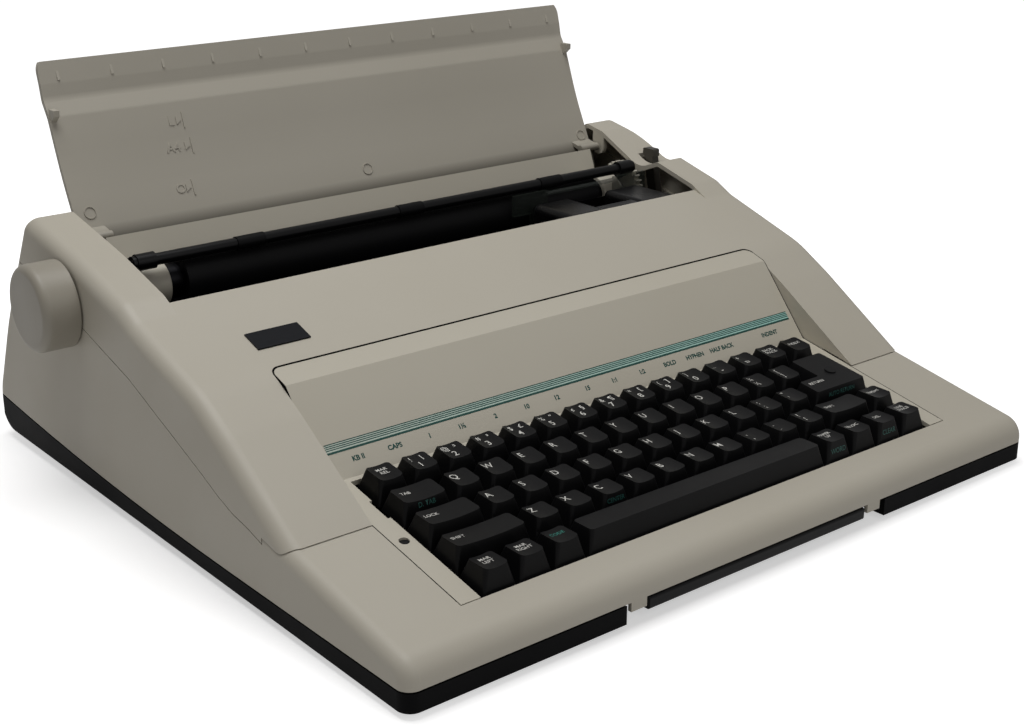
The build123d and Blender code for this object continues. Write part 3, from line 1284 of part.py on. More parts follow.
def export_mechanism():
    export_node("paper_lid", paper_lid())
    export_node("lid_hinge_pins", *lid_hinge_pins())
    export_node("side_frame_left", side_frame(-1))
    export_node("side_frame_right", side_frame(1))
    export_node("platen_bushes", *platen_bushes())
    export_node("platen_core", platen_core())
    export_node("platen_rubber", platen_rubber())
    export_node("platen_shaft", rod(SHAFT_RADIUS, KNOB_OUTER_X + 6, SHAFT_RIGHT_X, PLATEN))
    export_node("platen_end_caps", *platen_end_caps())
    export_node("platen_knob", platen_knob())
    export_node("platen_gear", platen_gear())
    export_node("feed_pinion", feed_pinion())
    export_node("feed_rollers", feed_rollers())
    export_node("paper_pan", paper_pan())
    export_node("paper_table", paper_table())
    export_node("bail_bar", *bail_bar())
    export_node("bail_rollers", *bail_rollers())
    export_node("release_lever", release_lever())
    rails = [rod(GUIDE_ROD_RADIUS, -FRAME_OUT, FRAME_OUT, at) for at in (FRONT_ROD, REAR_ROD)]
    export_node("guide_rails", *rails)
    export_node("carriage_frame", carriage_frame())
    export_node("card_holder", card_holder())
    export_node("wheel_motor", wheel_motor())
    export_node("type_wheel", type_wheel())
    export_node("print_hammer", print_hammer())
    export_node("ribbon_cassette", ribbon_cassette())
    export_node("drive_belt", drive_belt())
    export_node("drive_pulley", drive_pulley())
    export_node("idler_pulley", idler_pulley())
    export_node("belt_brackets", *belt_brackets())
    export_node("stepper_motors", feed_motor(), drive_motor())


def export_fittings():
    export_keys()
    export_node("key_frame", key_frame())
    membrane = keyboard_sheet(MEMBRANE_TOP, MEMBRANE_TOP - BOARD_TOP, -1.0)
    board = keyboard_sheet(BOARD_TOP, BOARD_SHEET, GUIDE_MARGIN)
    export_node("keyboard_board", keyboard(membrane), keyboard(board))
    export_node("carry_handle", carry_handle())
    export_node("rubber_feet", *rubber_feet())
    export_node("case_screws", *case_screws())
    export_node("main_board", main_board())
    export_node("transformer", transformer())
    export_node("mains_fittings", power_inlet(), switch_housing())
    export_node("switch_rocker", switch_rocker())


os.makedirs("parts", exist_ok=True)
export_body()
export_mechanism()
export_fittings()
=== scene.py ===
import json
import math

import bmesh
import bpy
from mathutils import Matrix, Vector
from mathutils.bvhtree import BVHTree

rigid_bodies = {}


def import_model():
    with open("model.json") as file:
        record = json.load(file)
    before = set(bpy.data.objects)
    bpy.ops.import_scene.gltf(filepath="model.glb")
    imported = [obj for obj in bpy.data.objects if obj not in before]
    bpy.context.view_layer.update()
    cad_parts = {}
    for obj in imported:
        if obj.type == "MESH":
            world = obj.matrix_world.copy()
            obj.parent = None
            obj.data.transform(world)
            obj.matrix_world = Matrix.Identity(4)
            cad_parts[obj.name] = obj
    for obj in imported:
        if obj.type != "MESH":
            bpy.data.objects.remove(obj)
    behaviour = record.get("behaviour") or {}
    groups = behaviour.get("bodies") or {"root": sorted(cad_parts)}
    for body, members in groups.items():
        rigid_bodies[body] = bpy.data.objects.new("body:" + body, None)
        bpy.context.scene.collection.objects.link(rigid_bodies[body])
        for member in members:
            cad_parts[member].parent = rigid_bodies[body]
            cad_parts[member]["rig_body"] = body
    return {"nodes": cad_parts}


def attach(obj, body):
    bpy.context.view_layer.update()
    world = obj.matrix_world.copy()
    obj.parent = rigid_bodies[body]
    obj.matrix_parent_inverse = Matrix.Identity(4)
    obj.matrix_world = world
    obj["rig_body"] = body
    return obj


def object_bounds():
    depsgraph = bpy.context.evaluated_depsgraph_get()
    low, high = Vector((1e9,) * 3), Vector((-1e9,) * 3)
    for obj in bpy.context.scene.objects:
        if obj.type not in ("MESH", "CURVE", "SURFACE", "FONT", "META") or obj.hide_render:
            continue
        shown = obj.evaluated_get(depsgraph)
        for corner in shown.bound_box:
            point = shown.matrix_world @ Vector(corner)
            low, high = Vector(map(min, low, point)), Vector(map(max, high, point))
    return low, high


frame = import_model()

cad_box = [list(corner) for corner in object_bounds()]

# Camera
# A mild telephoto lens that looks at the machine from the front left and above. The camera
# isn't rolled, and is turned towards the machine's right rear.
camera = bpy.data.objects.new("camera", bpy.data.cameras.new("camera"))
bpy.context.scene.collection.objects.link(camera)
camera.data.lens = 57.02
camera.data.sensor_width = 36.0
camera.location = (-0.49087, -0.62006, 0.3361)
camera.rotation_euler = (math.radians(70.095), 0.0, math.radians(-39.271))
bpy.context.scene.camera = camera
bpy.context.scene.view_settings.view_transform = "Standard"

# Studio
# White paper under and behind the machine. One soft lamp hangs high on the left, so light falls
# off towards the right, and a weak one in front opens up the steep faces.


def colour(code):
    """sRGB hex to the linear colour that a shader takes."""
    channels = [int(code[i:i + 2], 16) / 255 for i in (0, 2, 4)]
    linear = [c / 12.92 if c <= 0.04045 else ((c + 0.055) / 1.055) ** 2.4 for c in channels]
    return (*linear, 1.0)


def add(tree, kind, inputs=(), **settings):
    """Add one node: its settings, then each input's value or the socket that feeds it."""
    made = tree.nodes.new(kind)
    for name, value in settings.items():
        setattr(made, name, value)
    for name, value in dict(inputs).items():
        if isinstance(value, bpy.types.NodeSocket):
            tree.links.new(value, made.inputs[name])
        else:
            made.inputs[name].default_value = value
    return made


def new_material(name):
    """An empty node material and its tree."""
    material = bpy.data.materials.new(name)
    material.use_nodes = True
    tree = material.node_tree
    tree.nodes.clear()
    return material, tree


def finish_material(tree, shader):
    """Lead a shader to the material's surface."""
    add(tree, "ShaderNodeOutputMaterial", {"Surface": shader.outputs[0]})


def mesh_object(name, mesh, material):
    """Put a finished mesh in the scene with one material."""
    piece = bpy.data.objects.new(name, mesh)
    bpy.context.scene.collection.objects.link(piece)
    mesh.materials.clear()
    mesh.materials.append(material)
    return piece


GLOSSY_SHARE = 0.3      # how much of the white a reflection sees, as in a dimmer room


def seen_as_white(tree):
    """1 where the camera or clear plastic looks at the paper, less in a reflection."""
    ray = add(tree, "ShaderNodeLightPath").outputs
    mirror = add(tree, "ShaderNodeMath", {0: ray["Is Glossy Ray"], 1: GLOSSY_SHARE},
                 operation="MULTIPLY")
    direct = add(tree, "ShaderNodeMath", {0: ray["Is Camera Ray"],
                                          1: ray["Is Transmission Ray"]}, operation="MAXIMUM")
    return add(tree, "ShaderNodeMath", {0: mirror.outputs[0], 1: direct.outputs[0]},
               operation="MAXIMUM").outputs[0]


FADE_START = 0.2        # distances in metres between which the paper goes to white
FADE_END = 0.42
GLOW_NEAR = 0.5         # share of white that the camera sees in the paper itself
GLOW_FAR = 0.95


def white_paper():
    """Matt paper that keeps the shadow. The camera sees it go to plain white further out."""
    material, tree = new_material("white paper sweep")
    place = add(tree, "ShaderNodeTexCoord").outputs["Object"]
    far = add(tree, "ShaderNodeVectorMath", {0: place}, operation="LENGTH").outputs["Value"]
    rise = add(tree, "ShaderNodeMapRange", {"Value": far,
                                            "From Min": FADE_START, "From Max": FADE_END,
                                            "To Min": GLOW_NEAR, "To Max": GLOW_FAR})
    share = add(tree, "ShaderNodeMath", {0: rise.outputs["Result"], 1: seen_as_white(tree)},
                operation="MULTIPLY")
    shade = add(tree, "ShaderNodeBsdfDiffuse", {"Color": colour("E6E6E6")})
    glow = add(tree, "ShaderNodeEmission", {"Strength": share.outputs[0]})
    finish_material(tree, add(tree, "ShaderNodeAddShader", {0: shade.outputs[0],
                                                            1: glow.outputs[0]}))
    return material


PAPER_REACH = 6.0
paper_mesh = bpy.data.meshes.new("floor")
corners = [(-1, -1), (1, -1), (1, 1), (-1, 1)]
paper_mesh.from_pydata([(x * PAPER_REACH, y * PAPER_REACH, 0) for x, y in corners], [],
                       [(0, 1, 2, 3)])
mesh_object("floor", paper_mesh, white_paper())

ROOM_LIGHT = 0.12
world = bpy.data.worlds.new("studio")
bpy.context.scene.world = world
world.use_nodes = True
sky = world.node_tree
sky.nodes.clear()
room = add(sky, "ShaderNodeBackground", {"Color": colour("FAF4F2"), "Strength": ROOM_LIGHT})
backdrop = add(sky, "ShaderNodeBackground", {"Color": colour("FFFFFF"), "Strength": 1.0})
either = add(sky, "ShaderNodeMixShader", {0: seen_as_white(sky), 1: room.outputs[0],
                                          2: backdrop.outputs[0]})
add(sky, "ShaderNodeOutputWorld", {"Surface": either.outputs[0]})


def soft_lamp(name, place, aim, size, watts):
    """A rectangular lamp, turned to what it lights."""
    lamp = bpy.data.lights.new(name, "AREA")
    lamp.shape = "RECTANGLE"
    lamp.size, lamp.size_y = size
    lamp.energy = watts
    holder = bpy.data.objects.new(name, lamp)
    bpy.context.scene.collection.objects.link(holder)
    holder.location = place
    holder.rotation_euler = (Vector(aim) - Vector(place)).to_track_quat("-Z", "Y").to_euler()


soft_lamp("high left softbox", place=(-0.13, 0.02, 1.2), aim=(0, 0, 0.05), size=(0.7, 0.8),
          watts=8.7)
soft_lamp("near fill", place=(0.0, -0.75, 0.5), aim=(0, -0.05, 0.08), size=(0.4, 0.4),
          watts=0.65)

# Base tray, feet and screws
# The tray is injection-moulded ABS in near black, spark-eroded to a grain. Four rubber feet
# are pressed into it, and blackened screws come up through it into posts in the covers.
nodes = frame["nodes"]
MM = 0.001
CLOUDS = 9.0                                 # tone patches in a metre of moulded plastic
RUBBED = 23.0                                # polished patches in a metre


def moulded(name, base, aged, grain_mm, grain_depth_mm, roughness, polish, shine=0.5):
    """Moulded plastic: two close tones in slow clouds, a fine grain, and polished patches."""
    material, tree = new_material(name)
    place = add(tree, "ShaderNodeTexCoord").outputs["Object"]
    clouds = add(tree, "ShaderNodeTexNoise", {"Vector": place, "Scale": CLOUDS, "Detail": 3.0})
    tone = add(tree, "ShaderNodeMix", {"Factor": clouds.outputs["Fac"], "A": colour(base),
                                       "B": colour(aged)}, data_type="RGBA")
    specks = add(tree, "ShaderNodeTexNoise", {"Vector": place, "Scale": 1000 / grain_mm,
                                              "Detail": 2.0, "Roughness": 0.7})
    rub = add(tree, "ShaderNodeTexNoise", {"Vector": place, "Scale": RUBBED, "Detail": 4.0})
    gloss = add(tree, "ShaderNodeMapRange", {"Value": rub.outputs["Fac"], "From Min": 0.35,
                                             "From Max": 0.7, "To Min": roughness,
                                             "To Max": roughness - polish})
    grain = add(tree, "ShaderNodeBump", {"Height": specks.outputs["Fac"], "Strength": 1.0,
                                         "Distance": grain_depth_mm * MM})
    shader = add(tree, "ShaderNodeBsdfPrincipled", {
        "Base Color": tone.outputs["Result"], "Roughness": gloss.outputs["Result"],
        "Normal": grain.outputs["Normal"], "IOR": 1.5, "Specular IOR Level": shine})
    finish_material(tree, shader)
    return material


CHALK = 60.0                                 # chalky patches in a metre of rubber
TOOTH_DEPTH = 0.01 * MM


def rubber(name, base, chalk, tooth_mm, roughness, shine=0.2):
    """Ground rubber: a fine matt tooth, slightly chalky where paper and fingers rub it."""
    material, tree = new_material(name)
    place = add(tree, "ShaderNodeTexCoord").outputs["Object"]
    clouds = add(tree, "ShaderNodeTexNoise", {"Vector": place, "Scale": CHALK, "Detail": 5.0})
    tone = add(tree, "ShaderNodeMix", {"Factor": clouds.outputs["Fac"], "A": colour(base),
                                       "B": colour(chalk)}, data_type="RGBA")
    tooth = add(tree, "ShaderNodeTexNoise", {"Vector": place, "Scale": 1000 / tooth_mm})
    bump = add(tree, "ShaderNodeBump", {"Height": tooth.outputs["Fac"], "Strength": 1.0,
                                        "Distance": TOOTH_DEPTH})
    shader = add(tree, "ShaderNodeBsdfPrincipled", {
        "Base Color": tone.outputs["Result"], "Roughness": roughness,
        "Normal": bump.outputs["Normal"], "IOR": 1.52, "Specular IOR Level": shine})
    finish_material(tree, shader)
    return material


STRETCH = 0.05                               # a brushed line is twenty times as long as wide
BRUSH_SPREAD = 0.08                          # half the range of roughness between the lines


def brushed(name, base, worn, brush_mm, roughness):
    """Metal with fine drawn or brushed lines along X, a little lighter where it is worn."""
    material, tree = new_material(name)
    place = add(tree, "ShaderNodeTexCoord").outputs["Object"]
    drawn = add(tree, "ShaderNodeMapping", {"Vector": place, "Scale": (STRETCH, 1.0, 1.0)})
    lines = add(tree, "ShaderNodeTexNoise", {"Vector": drawn.outputs["Vector"],
                                             "Scale": 1000 / brush_mm, "Detail": 2.0})
    tone = add(tree, "ShaderNodeMix", {"Factor": lines.outputs["Fac"], "A": colour(base),
                                       "B": colour(worn)}, data_type="RGBA")
    gloss = add(tree, "ShaderNodeMapRange", {"Value": lines.outputs["Fac"],
                                             "To Min": roughness - BRUSH_SPREAD,
                                             "To Max": roughness + BRUSH_SPREAD})
    shader = add(tree, "ShaderNodeBsdfPrincipled", {
        "Base Color": tone.outputs["Result"], "Metallic": 1.0,
        "Roughness": gloss.outputs["Result"]})
    finish_material(tree, shader)
    return material


def dress(material, *names):
    """Give CAD nodes a finish, in every slot they have."""
    for name in names:
        mesh = nodes[name].data
        if not mesh.materials:
            mesh.materials.append(material)
        for i in range(len(mesh.materials)):
            mesh.materials[i] = material


# The grain scatters light, so the tray looks a soft black without highlights. The real
# grain is about 0.3 mm and is drawn at 1 mm so that it shows.
base_abs = moulded("black grained ABS", "0A0A0B", "0E0E0F", grain_mm=1.0, grain_depth_mm=0.02,
                   roughness=0.6, polish=0.1, shine=0.05)
dress(base_abs, "bottom_case")
# Foot rubber has no gloss and picks up a grey chalk from tables.
dress(rubber("matt foot rubber", "18181A", "262628", tooth_mm=0.9, roughness=0.8),
      "rubber_feet")
# Blackened steel is a dark metal with a dull shine on its edges.
dress(brushed("blackened screw steel", "2A2A2C", "3A3A3C", brush_mm=0.5, roughness=0.42),
      "case_screws")

# Carrying handle
# A black ABS bar on two flat arms that slide in guides under the tray. Its front is smoothed
# by hands, so it is less grained than the tray.
dress(moulded("hand-worn black ABS", "0D0D0E", "131314", grain_mm=0.8, grain_depth_mm=0.008,
              roughness=0.45, polish=0.14, shine=0.16),
      "carry_handle")

# Boards, transformer and mains fittings
# Epoxy-glass boards under green solder mask, an iron transformer dipped in varnish, and an
# inlet and rocker moulded in black nylon. They are screwed and clipped into the tray.

# Solder mask is a thin even lacquer, glossy over copper that shows through a little.
dress(moulded("green solder mask", "1F4A30", "265638", grain_mm=2.0, grain_depth_mm=0.004,
              roughness=0.35, polish=0.08),
      "main_board", "keyboard_board")
# Varnish runs over stacked iron sheets leave a brown, uneven half gloss.
dress(moulded("varnished iron", "3A3633", "46403B", grain_mm=0.7, grain_depth_mm=0.01,
              roughness=0.45, polish=0.1),
      "transformer")
# Nylon is a smoother, slightly bluish black.
dress(moulded("black nylon", "141416", "1A1A1C", grain_mm=1.4, grain_depth_mm=0.004, roughness=0.4,
              polish=0.1, shine=0.3),
      "mains_fittings", "switch_rocker")

# Key frame
# A black acetal plate with a square guide for each key's stem, screwed to posts in the tray.
# Acetal is waxy and half matt, and it is nearly black in the gaps between the keys.
acetal = moulded("black acetal", "0B0B0C", "101011", grain_mm=1.4, grain_depth_mm=0.004,
                 roughness=0.42, polish=0.1, shine=0.15)
dress(acetal, "key_frame")

# Keys
# Double-shot ABS caps in satin near black, finely grained, each on a stem in the key frame.
# Fingers have rubbed the tops a little smoother than the skirts.
key_names = [n for n in nodes if n.endswith("_key") or n.endswith("_keys")] + ["space_bar"]
# The grain is about 0.2 mm in fact, and is drawn at 0.7 mm so that it shows.
key_abs = moulded("satin black key ABS", "0C0C0D", "101011", grain_mm=0.7, grain_depth_mm=0.006,
                  roughness=0.42, polish=0.1, shine=0.12)
dress(key_abs, *key_names)

CENTRE = Vector((0.0095, -0.1865, 0.0))      # from the drawing's places to the frame's
DECK_ANGLE = math.radians(11.4)
# Front edge of the first row's cells, in the middle of the rows
KEY_CORNER = Vector((0.0, 0.0211, 0.0274)) + CENTRE
KEY_PITCH = 19.05 * MM
ROW_PITCH = 18.6 * MM
KEYS_WIDE = 15
TOP_MIDDLE = (11.4, 11.15, 11.05, 11.05, 10.85)     # of each row's tops up the cell, in mm
TOP_HEIGHT = 7.2 * MM
deck = Matrix.Translation(KEY_CORNER) @ Matrix.Rotation(DECK_ANGLE, 4, "X")


def lettering(text, height, place, weight_mm=0.0, depth_mm=0.0):
    """Words as a mesh, centred on a place whose Z is out of the surface."""
    curve = bpy.data.curves.new("words", "FONT")
    curve.body = text
    curve.size = height
    curve.align_x = "CENTER"
    curve.align_y = "CENTER"
    curve.space_line = 1.0
    curve.resolution_u = 3
    curve.offset = weight_mm * MM
    curve.extrude = depth_mm * MM / 2
    holder = bpy.data.objects.new("words", curve)
    bpy.context.scene.collection.objects.link(holder)
    graph = bpy.context.evaluated_depsgraph_get()
    mesh = bpy.data.meshes.new_from_object(holder.evaluated_get(graph))
    bpy.data.objects.remove(holder)
    mesh.transform(place)
    return mesh


def surface_of(names):
    """One search tree over some CAD nodes."""
    points, faces = [], []
    for name in names:
        start = len(points)
        mesh = nodes[name].data
        points += [v.co.copy() for v in mesh.vertices]
        faces += [[start + i for i in face.vertices] for face in mesh.polygons]
    return BVHTree.FromPolygons(points, faces)


INK = 0.05 * MM                              # thickness of a printed word
SEARCH_FROM = 0.02                           # in front of the surface, in metres


def print_on(mesh, surface, inward):
    """Drop printed words onto a surface, an ink's thickness above it."""
    for vertex in mesh.vertices:
        hit = surface.ray_cast(vertex.co - inward * SEARCH_FROM, inward)[0]
        if hit is not None:
            vertex.co = hit - inward * INK


def join_meshes(name, meshes):
    """Several meshes as one. The parts are removed."""
    together = bmesh.new()
    for mesh in meshes:
        together.from_mesh(mesh)
        bpy.data.meshes.remove(mesh)
    joined = bpy.data.meshes.new(name)
    together.to_mesh(joined)
    together.free()
    return joined


WORN = 420.0                                 # worn spots in a metre of print


def ink(name, shade, worn):
    """Opaque printing ink or second-shot plastic, worn a little lighter and darker."""
    material, tree = new_material(name)
    place = add(tree, "ShaderNodeTexCoord").outputs["Object"]
    wear = add(tree, "ShaderNodeTexNoise", {"Vector": place, "Scale": WORN, "Detail": 3.0})
    tone = add(tree, "ShaderNodeMix", {"Factor": wear.outputs["Fac"], "A": colour(shade),
                                       "B": colour(worn)}, data_type="RGBA")
    shader = add(tree, "ShaderNodeBsdfPrincipled", {"Base Color": tone.outputs["Result"],
                                                    "Roughness": 0.5, "IOR": 1.5})
    finish_material(tree, shader)
    return material


# The legends are the second shot of plastic, level with the cap: sharp, matt and a little worn.
white_legend = ink("white key legend", "E4E3DD", "C9C8C2")
teal_legend = ink("teal key legend", "2B8A7C", "216F63")
# The words on the keys' front faces are the same teal made darker: painted shade for fronts that
# face away from the light.
shaded_front_legend = ink("teal front legend with painted shade", "245F57", "1D4F49")

LETTER = 5.6 * MM
WORD = 2.8 * MM
LONGEST = 5.5                                # letters that fit on a line at full size
BOLD = 0.02                                  # added to each side of a stroke, in mm

# Each row from the space bar up: node, width and legends of every key. A legend is its words,
# its place across and up from the top's middle in units of the cell, and its size.


def letters(node, text):
    """A run of letter keys, each with its letter at the upper left."""
    return [(node, 1.0, [(c, -0.15, 0.09, LETTER)]) for c in text]


def words(node, width, text, across=0.0):
    """One key with words, set smaller where a line is long."""
    longest = max(len(line) for line in text.split("\n"))
    return [(node, width, [(text, across, 0.05, WORD * min(1.0, LONGEST / longest))])]


def pair(node, low, high, size=LETTER * 0.88):
    """One key with a mark below and another above."""
    return [(node, 1.0, [(low, -0.14, -0.12, size), (high, -0.14, 0.15, size)])]


def figure(low, high, side=""):
    """One number key: its digit, the sign above it, and a third sign beside that."""
    marks = [(low, -0.05, -0.14, LETTER * 0.98), (high, -0.17, 0.14, LETTER * 0.8)]
    if side:
        marks.append((side, 0.14, 0.14, LETTER * 0.78))
    return [("number_keys", 1.0, marks)]


KEY_TABLE = [
    words("margin_left_key", 1.0, "MAR\nLEFT") + words("margin_right_key", 1.0, "MAR\nRIGHT")
    + [("code_key", 1.0, [])] + [("space_bar", 8.0, [])]
    + words("edit_keys", 1.0, "PAPER\nUP") + words("edit_keys", 1.0, "RELOC")
    + words("edit_keys", 1.0, "DEL") + words("edit_keys", 1.0, "LINE\nSPACE"),
    words("left_shift_key", 2.25, "SHIFT", -0.66)
    + letters("bottom_letter_keys", "ZXCVBNM") + pair("bottom_letter_keys", ",", ",")
    + pair("bottom_letter_keys", ".", ".") + pair("bottom_letter_keys", "/", "?")
    + words("right_shift_key", 1.75, "SHIFT", -0.4) + words("edit_keys", 1.0, "REPEAT"),
    words("lock_key", 1.75, "LOCK", -0.42) + letters("home_letter_keys", "ASDFGHJKL")
    + pair("home_letter_keys", ";", ":") + pair("home_letter_keys", "'", '"'),
    words("tab_key", 1.5, "TAB", -0.3) + letters("top_letter_keys", "QWERTYUIOP")
    + pair("top_letter_keys", "½", "¼", LETTER * 0.8)
    + pair("top_letter_keys", "]", "[", LETTER * 0.8),
    words("margin_release_key", 1.0, "MAR\nREL")
    + figure("1", "!", "|") + figure("2", "@", "²") + figure("3", "#", "³")
    + figure("4", "$", "£") + figure("5", "%", "°") + figure("6", "¢", "§")
    + figure("7", "&", "¶") + figure("8", "*", "[") + figure("9", "(", "]")
    + figure("0", ")") + figure("-", "_") + figure("=", "+")
    + words("backspace_key", 1.0, "BACK\nSPACE") + words("edit_keys", 1.0, "INDEX"),
]
# Words on the keys' front faces: node, row, column of the middle, words, size and height up
# the face in mm.
TEAL_FRONTS = [("tab_key", 3, 0.75, "D. TAB", 3.0, 4.7),
               ("bottom_letter_keys", 1, 4.75, "CENTER", 2.8, 4.7),
               ("return_key", 2, 13.875, "AUTO RETURN", 2.9, 4.7),
               ("edit_keys", 0, 11.5, "WORD", 3.3, 3.4), ("edit_keys", 0, 13.5, "CLEAR", 3.3, 3.4)]

key_body = {name: nodes[name]["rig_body"] for name in key_names}
key_surface = {name: surface_of([name]) for name in key_names}
into_deck = (deck.to_3x3() @ Vector((0, 0, -1))).normalized()
up_deck = (deck.to_3x3() @ Vector((0, 1, 0))).normalized()
white_words, teal_words, front_words = {}, {}, {}


def key_words(node, column, row, across, up, text, size, store):
    """Print words on a key's top: its column and row, and a place in units of the cell."""
    x = (column - KEYS_WIDE / 2 + across) * KEY_PITCH
    u = (row + up) * ROW_PITCH + TOP_MIDDLE[row] * MM
    mesh = lettering(text, size, deck @ Matrix.Translation((x, u, TOP_HEIGHT)), BOLD)
    print_on(mesh, key_surface[node], into_deck)
    store.setdefault(key_body[node], []).append(mesh)


for row, keys in enumerate(KEY_TABLE):
    column = 0.0
    for node, width, legends in keys:
        for text, across, up, size in legends:
            key_words(node, column + width / 2, row, across, up, text, size, white_words)
        column += width
key_words("return_key", 13.35, 2, 0.0, 0.1, "RETURN", WORD, white_words)
key_words("code_key", 2.5, 0, 0.0, 0.06, "CODE", WORD, teal_words)

facing_typist = Matrix.Rotation(math.radians(90), 4, "X")
for node, row, column, text, size, height in TEAL_FRONTS:
    x = (column - KEYS_WIDE / 2) * KEY_PITCH
    place = deck @ Matrix.Translation((x, row * ROW_PITCH, height * MM)) @ facing_typist
    mesh = lettering(text, size * MM, place, BOLD)
    print_on(mesh, key_surface[node], up_deck)
    front_words.setdefault(key_body[node], []).append(mesh)

for shade, store, material in (("white", white_words, white_legend),
                               ("teal", teal_words, teal_legend),
                               ("front", front_words, shaded_front_legend)):
    for body, meshes in store.items():
        name = f"{shade}_legends_{body}"
        piece = mesh_object(name, join_meshes(name, meshes), material)
        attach(piece, body)

# Keyboard panel
# A separate ABS moulding in the covers' grey, dropped in round the keys and held by screws.
# Its steep face is screen-printed in teal: four hairlines over a bold line, and the settings.

# ABS of this grade is a warm grey that has yellowed a little and unevenly. Its real grain is
# about 0.25 mm and is drawn at 0.8 mm so that it shows.
panel_abs = moulded("panel grey ABS", "C4BFB1", "BEB8A8", grain_mm=0.8, grain_depth_mm=0.01,
                    roughness=0.52, polish=0.08)
dress(panel_abs, "keyboard_panel")

# Foot and top of the steep face, and the printed band on it: its ends across, and its lower
# edge up the face
PANEL_STEP = Vector((0.0, 0.1158, 0.04655)) + CENTRE
PANEL_FOLD = Vector((0.0, 0.147, 0.0834)) + CENTRE
face_up = (PANEL_FOLD - PANEL_STEP).normalized()
face_angle = math.atan2(face_up.z, face_up.y)
face_frame = Matrix.Translation(PANEL_STEP) @ Matrix.Rotation(face_angle, 4, "X")
into_face = (face_frame.to_3x3() @ Vector((0, 0, -1))).normalized()
panel_surface = surface_of(["keyboard_panel"])
BAND_LEFT = -149.0 * MM
BAND_RIGHT = 151.5 * MM
BAND_LOW = 12.4 * MM
BOLD_LINE = 1.0 * MM
HAIRLINES = 4
HAIRLINE = 0.46 * MM
HAIRLINE_STEP = 0.9 * MM
BOLD_GAP = 0.7 * MM                          # from the bold line to the first hairline
FIRST_HAIRLINE = BAND_LOW + BOLD_LINE + BOLD_GAP
BAND_TOP = FIRST_HAIRLINE + (HAIRLINES - 1) * HAIRLINE_STEP + HAIRLINE
LINE_INK = 0.06 * MM
TINT_INK = 0.03 * MM


def grown(name, sizes, build, material):
    """Run a Geometry Nodes tree with named inputs and keep its result as a plain mesh."""
    tree = bpy.data.node_groups.new(name, "GeometryNodeTree")
    kinds = {int: "NodeSocketInt", float: "NodeSocketFloat"}
    keys = {}
    for label, value in sizes.items():
        socket = tree.interface.new_socket(label, in_out="INPUT", socket_type=kinds[type(value)])
        keys[socket.identifier] = value
    tree.interface.new_socket("Mesh", in_out="OUTPUT", socket_type="NodeSocketGeometry")
    copies = build(tree, add(tree, "NodeGroupInput").outputs)
    real = add(tree, "GeometryNodeRealizeInstances", {"Geometry": copies})
    dressed = add(tree, "GeometryNodeSetMaterial", {"Geometry": real.outputs[0],
                                                    "Material": material})
    add(tree, "NodeGroupOutput", {"Mesh": dressed.outputs[0]})
    holder = bpy.data.objects.new(name, bpy.data.meshes.new(name))
    bpy.context.scene.collection.objects.link(holder)
    modifier = holder.modifiers.new(name, "NODES")
    modifier.node_group = tree
    for key, value in keys.items():
        modifier[key] = value
    graph = bpy.context.evaluated_depsgraph_get()
    mesh = bpy.data.meshes.new_from_object(holder.evaluated_get(graph))
    bpy.data.objects.remove(holder)
    return mesh


def line_rows(tree, size):
    """Equal printed lines, one above the other, the first on the X axis."""
    offset = add(tree, "ShaderNodeCombineXYZ", {"Y": size["Step"]})
    rows = add(tree, "GeometryNodeMeshLine", {"Count": size["Lines"],
                                              "Offset": offset.outputs[0]})
    strip = add(tree, "GeometryNodeMeshGrid", {"Size X": size["Length"], "Size Y": size["Width"],
                                               "Vertices X": 2, "Vertices Y": 2})
    return add(tree, "GeometryNodeInstanceOnPoints", {
        "Points": rows.outputs["Mesh"], "Instance": strip.outputs["Mesh"]}).outputs[0]


def printed_lines(name, lines, low, width, ink_height, material):
    """Printed lines across the steep face, the lowest with its lower edge at a height."""
    mesh = grown(name, {"Lines": lines, "Step": HAIRLINE_STEP, "Width": width,
                        "Length": BAND_RIGHT - BAND_LEFT}, line_rows, material)
    mesh.transform(face_frame @ Matrix.Translation(((BAND_LEFT + BAND_RIGHT) / 2,
                                                    low + width / 2, ink_height)))
    return mesh


def band_tint():
    """Pale teal between the lines: the halftone deepens from left to right."""
    material, tree = new_material("pale teal halftone")
    place = add(tree, "ShaderNodeTexCoord").outputs["Object"]
    parts = add(tree, "ShaderNodeSeparateXYZ", {"Vector": place})
    deep = add(tree, "ShaderNodeMapRange", {"Value": parts.outputs["X"],
                                            "From Min": BAND_LEFT, "From Max": BAND_RIGHT})
    tone = add(tree, "ShaderNodeMix", {"Factor": deep.outputs["Result"],
                                       "A": colour("C6D0C4"), "B": colour("A2D2C8")},
               data_type="RGBA")
    shader = add(tree, "ShaderNodeBsdfPrincipled", {"Base Color": tone.outputs["Result"],
                                                    "Roughness": 0.5, "IOR": 1.5})
    finish_material(tree, shader)
    return material


# Screen ink is a flat, dense coat with a dull gloss.
teal_ink = ink("dark teal screen ink", "023D36", "05473F")
halftone = band_tint()
bars = [printed_lines("bold_line", 1, BAND_LOW, BOLD_LINE, LINE_INK, teal_ink),
        printed_lines("hairlines", HAIRLINES, FIRST_HAIRLINE, HAIRLINE, LINE_INK,
                      teal_ink)]
band = mesh_object("printed_lines", join_meshes("printed_lines", bars), teal_ink)
tint = mesh_object("printed_tint", printed_lines("tint", 1, BAND_LOW, BAND_TOP - BAND_LOW,
                                                 TINT_INK, halftone), halftone)
